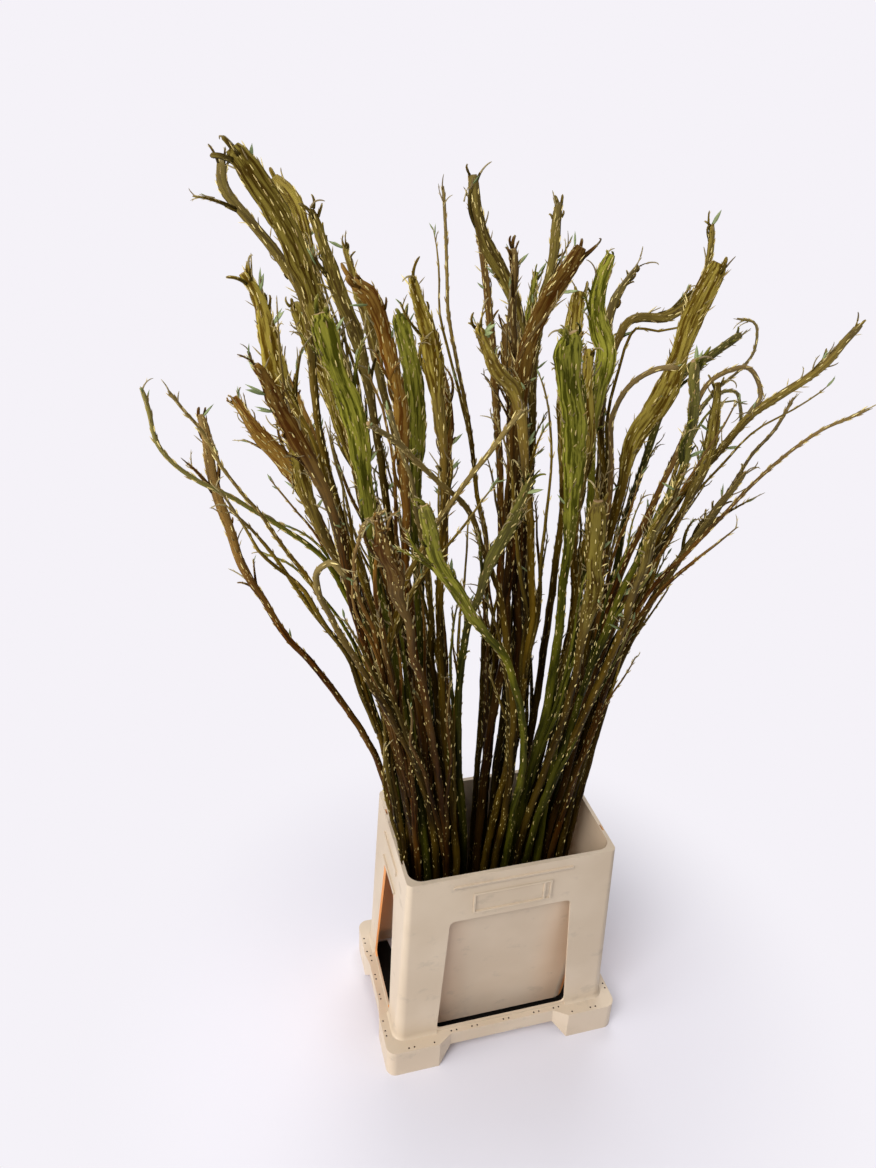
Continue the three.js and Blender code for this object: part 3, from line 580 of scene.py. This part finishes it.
# %% A rod along a row of points
def lay_path(whole, spots, radius_at, finish, tone, sides=6, flat=1.0, head=0.5, first_side=None):
    """Lays a rod along points. Its thickness comes from radius_at(share)."""
    last = len(spots) - 1
    side = first_side or (spots[1] - spots[0]).orthogonal()
    frames = []
    for k in range(last + 1):
        heading = (spots[min(k + 1, last)] - spots[max(k - 1, 0)]).normalized()
        side = (side - heading * side.dot(heading)).normalized()
        frames.append((heading, side, heading.cross(side)))
    length = sum((b - a).length for a, b in zip(spots, spots[1:]))

    def shape(share, angle):
        k = round(share * last)
        radius = radius_at(share)
        skin = frames[k][1] * (radius * math.cos(angle)) + frames[k][2] * (radius * flat * math.sin(angle))
        return spots[k] + skin, radius, head

    lay_rod(whole, sides, last - 1, length, shape, finish, tone)
    return frames


# %% A shoot
END_FROM = 0.98  # the share of a rod's length from which its last ring is drawn in, so that it ends blunt


def add_shoot(
    whole, place, along, bend, length, thick, tip, tone, sides=6, steps=9, finish=TWIG, flat=1.0, buds=0
):
    """bend is the direction the shoot curls to, and how far its tip leans that way, in radians."""
    aside = (bend - along * bend.dot(along)).normalized()
    spots = [place]
    for k in range(steps):
        angle = bend.length * ((k + 0.5) / steps) ** 1.3
        spots.append(spots[-1] + (along * math.cos(angle) + aside * math.sin(angle)) * (length / steps))

    def radius_at(share):
        return (thick + (tip - thick) * share) * (0.5 if share > END_FROM else 1)

    frames = lay_path(whole, spots, radius_at, finish, tone, sides, flat, first_side=aside)
    for i in range(buds):
        k = min(int((0.3 + 0.65 * (i + 0.5) / buds) * steps), steps)
        heading, side, through = frames[k]
        outward = ((side if i % 2 else -side) * 0.8 + through * 0.4).normalized()
        size = length * 0.08 + 3 * MM
        add_bud(whole, spots[k], heading, outward, size, tone, BUD, 0.45, BRISTLE)
    return spots[-1], frames[-1][0]


print("shoot helper ready")

# %% [markdown]
# ## One stem
# The stalk is round with a faint swelling every three centimetres. Towards the tip it widens into a flat
# head, which in this willow is several shoots grown together, so lengthwise ridges run over it. The rod's
# corners are moved in and out for that, with a little noise so that no two stems are alike.

# %% Shape of a stem
STALK_STEP = 7 * MM
SWELLS_EVERY = 31 * MM
LAST_BIT = 3 * MM
FULL_TURN = 6.28
SOMEWHERE = 50  # how far apart, in the noise's own units, the noises of two stems may be taken
TONES = {"yellow_crossing": 1.0, "thin_whip": 1.0, "great_strap": 0.7, "thin_dark": 0.05, "front_low": 0.1}


def stem_mesh(name, line, luck):
    """The stem's rod, its tone, whether its head is flat, and a function for its section at a share."""
    bm = new_part()[0]
    tone = luck.random()
    tone = TONES.get(name.split("_", 2)[2], tone)
    tip_wide, tip_thick = line.widths[-2]
    flat_head = tip_wide > 1.5 * tip_thick
    sides = 24 if tip_wide > 7.5 * MM else 16 if flat_head else 12
    cuts = round(line.length / STALK_STEP)
    ridges = luck.choice((3, 4, 5))
    phase = luck.uniform(0, FULL_TURN)
    spot = Vector((luck.uniform(-SOMEWHERE, SOMEWHERE), luck.uniform(-SOMEWHERE, SOMEWHERE), 0))
    stations = {}

    def section(share):
        key = round(share * 4096)
        if key not in stations:
            way = share * line.length
            place, _, across, through, wide, thick = line.at(way)
            head = min(max((wide / thick - 1.15) / 1.2, 0.0), 1.0)
            sway = noise.noise_vector(spot + Vector((0, 0, way * 13))) * 2.2 * MM
            sway += noise.noise_vector(spot + Vector((9, 0, way * 38))) * 0.8 * MM
            swell = 1 + 0.06 * max(0.0, math.sin(way * 2 * math.pi / SWELLS_EVERY + phase)) ** 6
            lump = noise.noise(spot + Vector((3, 5, way * 27))) * 0.34
            lump += noise.noise(spot + Vector((8, 2, way * 75))) * 0.14
            left = line.length - way
            round_end = 1.0 if left > LAST_BIT else 0.72 + 0.28 * math.sqrt(max(left, 0) / LAST_BIT)
            wide *= swell * round_end * (1 + lump * (0.12 + 0.88 * head) + 0.17 * head)
            thick *= swell * round_end
            stations[key] = (place + sway, across, through, wide, thick, head, way)
        return stations[key]

    def shape(share, angle):
        place, across, through, wide, thick, head, way = section(share)
        x, y = math.cos(angle), math.sin(angle)
        ridge = 1 + 0.3 * head * math.sin(x * ridges * 2.2 + phase + way * 9) * abs(y)
        lift = 1 + 0.08 * noise.noise(spot + Vector((x * 1.7, y * 1.7, way * 45)))
        point = place + across * (wide * lift * x) + through * (thick * lift * ridge * y)
        return point, (wide + thick) / 2, head

    lay_rod(bm, sides, cuts, line.length, shape, BARK, tone, WOOD)
    return bm, tone, flat_head, section


# %% Buds of a stem
BUD_FROM = 0.3
LOW_UNTIL = 0.62
CLOSER_FROM = 0.66
GOLDEN_TURN = math.radians(137.5)


def dress_with_buds(bm, line, section, luck):
    """Buds wind up the stem. They are smaller and further apart low down, darker there as painted shade, and
    dense on a head.
    """
    way = BUD_FROM * line.length + luck.uniform(0, 0.02)
    angle = luck.uniform(0, FULL_TURN)
    count = 0
    while way < line.length - LAST_BIT:
        place, across, through, wide, thick, head, _ = section(way / line.length)
        along = line.at(way)[1]
        x, y = math.cos(angle), math.sin(angle)
        skin = place + across * (wide * 0.98 * x) + through * (thick * 0.98 * y)
        outward = (across * (x / wide) + through * (y / thick)).normalized()
        low = max(0.0, 1 - way / line.length / LOW_UNTIL)
        if luck.random() < 0.3 * head:
            size, tone, finish = luck.uniform(6, 12) * MM, luck.random(), luck.choice((BUD, BUD, TWIG))
            add_bud(bm, skin, along, outward, size, tone, finish, luck.uniform(0.45, 1.2), BRISTLE)
        else:
            size = luck.uniform(4.6, 8.2) * MM * (1 - 0.45 * low)
            # The darker tone low down is painted shade, as on the stalks.
            tone = luck.random() * (1 - 0.45 * low)
            add_bud(bm, skin, along, outward, size, tone, BUD)
        count += 1
        angle += GOLDEN_TURN + luck.uniform(-0.9, 0.9)
        closer = 0.5 if way > CLOSER_FROM * line.length else 1.0
        on_stalk = luck.uniform(5, 15) * MM * (1 - head) * (1 + 1.4 * low) * closer
        way += on_stalk + luck.uniform(1.2, 2.4) * MM * head
    return count


# %% [markdown]
# ## Side branches
# In a full bunch many stalks carry a thinner branch that leaves them half way up and rises beside them. A
# branch follows its own stem's line, drifting further from it as it climbs, so it always stays with the
# bunch. Stems that stand apart from the others have none.

# %% A side branch
CROWDED_WITHIN = 90 * MM
BRANCH_STEPS = 24
BRANCH_TIP = 1.0 * MM


def around(side, through, angle):
    return side * math.cos(angle) + through * math.sin(angle)


def add_branch(bm, section, luck, tone):
    start = luck.uniform(0.3, 0.62)
    end = min(start + luck.uniform(0.18, 0.42), 0.97)
    angle = luck.uniform(0, FULL_TURN)
    spread = luck.uniform(14, 36) * MM
    spot = Vector((luck.uniform(-SOMEWHERE, SOMEWHERE), 0, 0))
    spots = []
    for k in range(BRANCH_STEPS + 1):
        t = k / BRANCH_STEPS
        place, across, through, _, thick, _, way = section(start + (end - start) * t)
        outward = around(across, through, angle + 0.8 * t)
        wander = noise.noise_vector(spot + Vector((0, 0, way * 11))) * 11 * MM * t
        spots.append(place + outward * (thick * 0.55 + spread * t**1.25) + wander)
    foot = luck.uniform(2.8, 4.2) * MM

    def radius_at(share):
        lump = 1 + 0.2 * noise.noise(spot + Vector((0, 4, share * 16)))
        return (foot + (BRANCH_TIP - foot) * share**1.4) * lump * (0.5 if share > END_FROM else 1)

    frames = lay_path(bm, spots, radius_at, BARK, tone, sides=8, flat=luck.uniform(0.7, 1), head=0.25)
    for k in range(2, BRANCH_STEPS):
        heading, side, through = frames[k]
        for turn in range(luck.choice((1, 1, 2))):
            outward = around(side, through, k * GOLDEN_TURN + 2.4 * turn)
            skin = spots[k] + outward * radius_at(k / BRANCH_STEPS) * 0.9
            size, tint = luck.uniform(4.5, 7.5) * MM, luck.random() ** 0.7
            add_bud(bm, skin, heading, outward, size, tint, BUD, 0.25)
    dress_twig_end(bm, spots[-1], frames[-1], luck)


# %% [markdown]
# ## The tips
# A flat head ends in a few blunt prongs, parts into longer ones at its edges and is fringed with small
# shoots, and a slim stem runs out thin with a bud or two. The kind of tip follows from the solid: a round
# end is a twig, and a flat one that narrows again is a crest, which bristles more.

# %% End of a twig
def dress_twig_end(bm, place, frame_there, luck):
    heading, side, through = frame_there
    for k in range(luck.choice((2, 3, 3, 4))):
        outward = around(side, through, luck.uniform(0, FULL_TURN))
        at = place - heading * (3 + 6 * k) * MM
        if luck.random() < 0.3:
            size, tint, lean = luck.uniform(7, 12) * MM, luck.random(), luck.uniform(0.2, 0.7)
            add_bud(bm, at, heading, outward, size, tint, LEAF, lean, OPEN_LEAF)
        else:
            toward = (heading + outward * luck.uniform(0.3, 0.8)).normalized()
            bend = outward * luck.uniform(-1.2, 1.2)
            add_shoot(
                bm, at, toward, bend, luck.uniform(8, 20) * MM, 0.9 * MM, 0.35 * MM, luck.random(),
                sides=5, steps=6, buds=luck.choice((0, 1, 2)),
            )


# %% Tips of a stem
TIP_MARGIN = 45 * MM
CREST_UNDER = 0.75


def tip_room(place):
    """Whether a tip is far enough inside the box for side shoots that stand well off it."""
    low, high = cad_box
    return all(a + TIP_MARGIN < p < b - TIP_MARGIN for a, p, b in zip(low, place, high))


def add_prongs(bm, line, tone, luck):
    """The blunt prongs that end a flat head."""
    place, along, across, through, wide, _ = line.at(line.length)
    prongs = luck.choice((1, 2, 2, 3))
    for k in range(prongs):
        side = luck.uniform(-0.5, 0.5) + (2 * (k + 0.5) / prongs - 1) * 0.6
        start = place + across * wide * side - along * 9 * MM
        heading = (along + across * side * 0.6 + through * luck.uniform(-0.3, 0.3)).normalized()
        bend = across * luck.uniform(-1.1, 1.1) + through * luck.uniform(-0.8, 0.8)
        foot = min(luck.uniform(0.32, 0.6) * wide, 4.4 * MM)
        end, heading = add_shoot(
            bm, start, heading, bend, luck.uniform(12, 27) * MM, foot, foot * luck.uniform(0.35, 0.75), tone,
            sides=7, finish=BARK, flat=0.8, buds=4,
        )
        if luck.random() < 0.35:
            add_shoot(
                bm, end - heading * 2 * MM, heading, bend * 1.7, luck.uniform(10, 20) * MM, 1.1 * MM, 0.6 * MM,
                luck.random(), sides=5, steps=7,
            )


def add_side_prongs(bm, line, tone, section, luck):
    """Longer prongs that part from the edges of a head below its end."""
    for _ in range(luck.choice((2, 3, 4)) if tip_room(line.at(line.length)[0]) else 1):
        way = line.length * luck.uniform(0.76, 0.96)
        spot, across, through, wide = section(way / line.length)[:4]
        heading = line.at(way)[1]
        side = luck.choice((-1, 1))
        outward = (across * side + through * luck.uniform(-0.7, 0.7)).normalized()
        toward = (heading + outward * luck.uniform(0.25, 0.6)).normalized()
        foot = luck.uniform(1.9, 3.0) * MM
        start = spot + across * side * wide * 0.6
        bend = outward * luck.uniform(-1.3, 0.5) + through * luck.uniform(-0.6, 0.6)
        end, heading = add_shoot(
            bm, start, toward, bend, luck.uniform(28, 62) * MM, foot, foot * 0.4, tone,
            sides=7, steps=12, finish=BARK, flat=0.75, buds=9,
        )
        dress_twig_end(bm, end, (heading, across, through), luck)


def add_fringe(bm, line, section, luck):
    """Small shoots and opened buds around a head. A crest, which narrows at its end, has more of them."""
    crest = line.widths[-1][0] < CREST_UNDER * line.widths[-3][0]
    for _ in range(luck.randint(16, 26) if crest else luck.randint(8, 14)):
        way = line.length * (1 - luck.random() ** 1.5 * 0.3)
        spot, across, through, wide, thick = section(way / line.length)[:5]
        heading = line.at(way)[1]
        if luck.random() < 0.6:
            x, y = luck.choice((-1, 1)), luck.uniform(-0.5, 0.5)
        else:
            x, y = luck.uniform(-1, 1), 1
        outward = (across * x + through * y).normalized()
        start = spot + across * wide * x * 0.85 + through * thick * y * 0.85
        lean = luck.uniform(0.3, 1.0)
        curled = heading.cross(outward) * luck.uniform(-1.5, 1.5) - outward * luck.uniform(-0.6, 1.6)
        toward = (heading + outward * lean).normalized()
        kind = luck.random()
        if kind < 0.16:
            for turn in range(luck.choice((1, 1, 2))):
                fanned = (toward + heading.cross(outward) * (turn - 1) * 0.5).normalized()
                size, tint = luck.uniform(9, 17) * MM, luck.random()
                add_bud(bm, start, fanned, outward, size, tint, LEAF, 0.2, OPEN_LEAF)
        elif kind < 0.55:
            add_shoot(
                bm, start, toward, curled, luck.uniform(6, 16) * MM, luck.uniform(1.1, 2.0) * MM, 0.9 * MM,
                luck.random(), sides=6, steps=7, finish=BARK, buds=2,
            )
        else:
            add_shoot(
                bm, start, toward, curled, luck.uniform(9, 24) * MM, luck.uniform(0.8, 1.2) * MM, 0.5 * MM,
                luck.random(), sides=5, steps=8, buds=luck.choice((0, 1)),
            )


def dress_tip(bm, line, tone, flat_head, section, luck):
    if flat_head:
        add_prongs(bm, line, tone, luck)
        add_side_prongs(bm, line, tone, section, luck)
        add_fringe(bm, line, section, luck)
    else:
        place, along, across, through = line.at(line.length)[:4]
        dress_twig_end(bm, place, (along, across, through), luck)


print("helpers for branches and tips ready")

# %% Build every stem
NEIGHBOURS_OF_A_CROWD = 3
slots = {part["node"]: part["material_slot"] for part in frame["record"]["subparts"]}
middles = {name: line.at(0.7 * line.length)[0] for name, line in lines.items()}
total_buds = branches = total_faces = 0
for name in sorted(lines):
    luck = random.Random(name)
    bm, tone, flat_head, section = stem_mesh(name, lines[name], luck)
    total_buds += dress_with_buds(bm, lines[name], section, luck)
    dress_tip(bm, lines[name], tone, flat_head, section, luck)
    beside = sum((middle - middles[name]).length < CROWDED_WITHIN for middle in middles.values()) - 1
    if beside >= NEIGHBOURS_OF_A_CROWD:
        for _ in range(luck.choice((2, 3, 3))):
            add_branch(bm, section, luck, tone)
            branches += 1
    mesh = bpy.data.meshes.new(name.replace("stem", "willow"))
    bm.to_mesh(mesh)
    bm.free()
    for finish in (barks[slots[name]], *small_finishes):
        mesh.materials.append(finish)
    piece = bpy.data.objects.new(mesh.name, mesh)
    bpy.context.scene.collection.objects.link(piece)
    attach(piece, "root")
    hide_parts(name)
    total_faces += len(mesh.polygons)
print(len(lines), "stems with", branches, "branches,", total_buds, "buds and", total_faces, "faces")

# %% [markdown]
# ## Plastic
# The container is moulded in cream polypropylene. It is satin, a little uneven in colour and greyer where
# it was scuffed. Where light comes through the walls, a warm orange is painted into its colour and a weak
# glow is added, which is painted light kept to a mask that the mesh carries, and the bores of the drain
# holes are painted dark, which is painted shade.

# %% Plastic wear, a node group
wear, given, out = new_group("plastic wear", ["Cloud", "Scuff", "Height"])
# Grains per metre, along each of the container's axes.
CLOUDS = (9, 9, 9)
SMEARS = (26, 26, 40)
SCRATCHES = (420, 420, 34)
PEBBLES = (1500, 1500, 1500)
cloud = noise_at(wear, given["Place"], CLOUDS, 3.0, 0.5)
smear = reached(wear, noise_at(wear, given["Place"], SMEARS, 4.0, 0.65), 0.57, 0.7)
scratch = reached(wear, noise_at(wear, given["Place"], SCRATCHES, 3.0, 0.6), 0.62, 0.72)
scuff = sums(wear, "MULTIPLY", smear, sums(wear, "ADD", sums(wear, "MULTIPLY", scratch, 0.6), 0.4))
pebble = noise_at(wear, given["Place"], PEBBLES, 2.0, 0.5)
height = sums(wear, "ADD", sums(wear, "MULTIPLY", pebble, 0.5), sums(wear, "MULTIPLY", scuff, 0.4))
for socket, value in zip(out, (cloud, scuff, height)):
    wear.links.new(value, socket)
print("node group:", wear.name)

# %% Plastic finish
CREAM_DARK, CREAM_LIGHT = paint(193, 174, 150), paint(201, 183, 160)
PAINTED_THROUGH_LIGHT = paint(218, 152, 88)
SCUFFED = paint(140, 131, 120)
PAINTED_HOLE_SHADE = paint(58, 38, 24)
NO_LIGHT = (0, 0, 0, 1)
PLASTIC_RELIEF = 0.3 * MM
plastic, tree, shader = new_material("cream_plastic")
place = node(tree, "TexCoord").outputs["Object"]
parts = use_group(tree, wear, place)
painted_light_mask = node(tree, "Attribute", attribute_name="painted_light_mask").outputs["Fac"]
colour = mixed(tree, reached(tree, parts["Cloud"], 0.35, 0.65), CREAM_DARK, CREAM_LIGHT)
split = node(tree, "SeparateXYZ", {0: place}).outputs
# Painted light: where light comes through the thin walls, a warm orange is painted into the colour, strongest
# near the ends and low down, and a weak glow is added on top.
near_end = reached(tree, sums(tree, "ABSOLUTE", split["X"], 0.0), 0.04, 0.085, 0.1, 1.0)
low_down = reached(tree, split["Z"], 0.1, 0.335, 1.0, 0.6)
painted_light_share = sums(tree, "MULTIPLY", sums(tree, "MULTIPLY", painted_light_mask, near_end), low_down)
colour = mixed(tree, painted_light_share, colour, PAINTED_THROUGH_LIGHT)
lit = sums(tree, "MULTIPLY", painted_light_share, reached(tree, split["Z"], 0.06, 0.28, 0.35, 1.0))
tree.links.new(mixed(tree, lit, NO_LIGHT, PAINTED_THROUGH_LIGHT), shader.inputs["Emission Color"])
shader.inputs["Emission Strength"].default_value = 0.36
colour = mixed(tree, sums(tree, "MULTIPLY", parts["Scuff"], 0.5), colour, SCUFFED)
# Painted shade: the bores of the drain holes are painted dark.
painted_hole_shade = node(tree, "Attribute", attribute_name="painted_hole_shade").outputs["Fac"]
colour = mixed(tree, painted_hole_shade, colour, PAINTED_HOLE_SHADE)
tree.links.new(colour, shader.inputs["Base Color"])
tree.links.new(reached(tree, parts["Scuff"], 0.0, 0.6, 0.42, 0.62), shader.inputs["Roughness"])
bump = node(tree, "Bump", {"Height": parts["Height"], "Strength": 0.25, "Distance": PLASTIC_RELIEF})
tree.links.new(bump.outputs[0], shader.inputs["Normal"])
print("plastic ready")

# %% [markdown]
# ## Container
# The container's solid already has its walls, windows, feet and raised lines. What it lacks are the soft
# edges that a mould leaves. A copy is merged, its flat faces are joined, and its sharp edges get a small
# round. The drain holes in the flange are drilled afterwards, so that the round doesn't close them.

# %% Soft edges
SOFT_EDGE = 0.6 * MM
FLAT_UNDER = math.radians(1.0)
SHARP_OVER = math.radians(32)
SHADED_SHARP_OVER = math.radians(38)


def on_label(edge):
    """Whether an edge belongs to the label's low ribs, which are too slight for a round."""
    middle = (edge.verts[0].co + edge.verts[1].co) / 2
    return abs(middle.x) < 0.062 and 0.262 < middle.z < 0.332 and abs(middle.y) > 0.08


bm = bmesh.new()
bm.from_mesh(frame["nodes"]["container"].data)
bmesh.ops.remove_doubles(bm, verts=bm.verts, dist=SAME_PLACE)
bmesh.ops.dissolve_limit(bm, angle_limit=FLAT_UNDER, verts=bm.verts, edges=bm.edges)
sharp = [
    e for e in bm.edges
    if len(e.link_faces) == 2 and e.calc_face_angle() > SHARP_OVER and not on_label(e)
]
bmesh.ops.bevel(
    bm, geom=sharp, offset=SOFT_EDGE, offset_type="OFFSET", affect="EDGES", segments=2, profile=0.5, material=-1,
    clamp_overlap=True,
)
bmesh.ops.remove_doubles(bm, verts=bm.verts, dist=SAME_PLACE)
container_mesh = bpy.data.meshes.new("flower_container")
for face in bm.faces:
    face.smooth = True
bm.to_mesh(container_mesh)
open_edges = sum(len(e.link_faces) != 2 for e in bm.edges)
print("container:", len(bm.faces), "faces,", open_edges, "open edges")
bm.free()
container_mesh.set_sharp_from_angle(angle=SHADED_SHARP_OVER)
container_mesh.materials.append(plastic)

# %% Drain holes
HOLE_RADIUS = 1.3 * MM
HOLE_DEPTH = 8 * MM
HOLE_MIDDLE = 46 * MM
# In millimetres from the middle: rows along the front and one side, which the other two sides mirror.
HOLES_FRONT = [(x, -101.7) for x in (-77, -69, -46, -38, 2, 10, 49, 57, 80, 88)]
HOLES_FRONT += [(x, -113.5) for x in (-142, -134, -105, 105, 134, 142)]
HOLES_SIDE = [(165, y) for y in (50, 41, 15, 7, -20, -28)]
HOLES_SIDE += [(169, y) for y in (84, 75, 59, -64, -80, -88)]
holes = HOLES_FRONT + [(-x, -y) for x, y in HOLES_FRONT]
holes += HOLES_SIDE + [(-x, y) for x, y in HOLES_SIDE]
bm = bmesh.new()
for x, y in holes:
    at = Matrix.Translation((x * MM, y * MM, HOLE_MIDDLE))
    bmesh.ops.create_cone(
        bm, cap_ends=True, segments=12, radius1=HOLE_RADIUS, radius2=HOLE_RADIUS, depth=HOLE_DEPTH, matrix=at
    )
drill_mesh = bpy.data.meshes.new("drill")
bm.to_mesh(drill_mesh)
bm.free()
drill = bpy.data.objects.new("drill", drill_mesh)
container = bpy.data.objects.new("flower_container", container_mesh)
for item in (drill, container):
    bpy.context.scene.collection.objects.link(item)
cutter = container.modifiers.new("drain holes", "BOOLEAN")
cutter.operation = "DIFFERENCE"
cutter.solver = "EXACT"
cutter.object = drill
bpy.context.view_layer.update()
drilled = bpy.data.meshes.new_from_object(
    container.evaluated_get(bpy.context.evaluated_depsgraph_get())
)
container.modifiers.clear()
container.data = drilled
drilled.name = "flower_container"
bpy.data.objects.remove(drill)
print(len(holes), "drain holes,", len(drilled.polygons), "faces")

# %% [markdown]
# The warm colour, which is painted light that comes through the walls, is a mask on the mesh. A face gets
# most of it when it belongs to the outside of the bucket's end walls or to the skirt's back beside them,
# which are seen through the side windows, and a little when it is inside the bucket at an end or behind a
# long window. Faces in a drain hole get a mask of their own, for their painted shade.

# %% Masks for painted light through the walls and painted shade in the holes
# Shares of the painted light through the walls, by place.
INSIDE_END, OUTSIDE_END, SKIRT_BACK, BEHIND_WINDOW = 0.14, 0.9, 0.9, 0.14
LOWEST_WARM = 50 * MM
UNDER_RIM = 2 * MM
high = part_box("container")[1]
painted_light_mask = [0.0] * len(drilled.loops)
painted_hole_shade = [0.0] * len(drilled.loops)
for face in drilled.polygons:
    x, y, z = face.center
    facing_in = face.normal.x * x + face.normal.y * y < 0
    share = 0.0
    if abs(x) > 0.115 and LOWEST_WARM < z < high.z - UNDER_RIM:
        if facing_in:
            share = INSIDE_END if abs(x) < 0.13 and abs(y) < 0.075 else SKIRT_BACK
        elif abs(x) < 0.135 and abs(y) < 0.08:
            share = OUTSIDE_END
    elif abs(face.normal.y) > 0.6 and abs(y) < 0.088 and abs(x) < 0.06 and not facing_in:
        share = BEHIND_WINDOW
    # Painted shade: the walls of a drain hole get a dark mask of their own.
    in_hole = any(math.hypot(x - u * MM, y - v * MM) < 1.2 * HOLE_RADIUS for u, v in holes)
    for k in face.loop_indices:
        painted_light_mask[k] = share
        painted_hole_shade[k] = float(in_hole and abs(face.normal.z) < 0.5)
for label, values in (("painted_light_mask", painted_light_mask), ("painted_hole_shade", painted_hole_shade)):
    drilled.attributes.new(label, "FLOAT", "CORNER").data.foreach_set("value", values)
weighted = container.modifiers.new("even shading", "WEIGHTED_NORMAL")
weighted.keep_sharp = True
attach(container, "root")
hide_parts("container")
print("corners with a warm share:", sum(v > 0 for v in painted_light_mask), "in holes:", sum(v > 0 for v in painted_hole_shade))
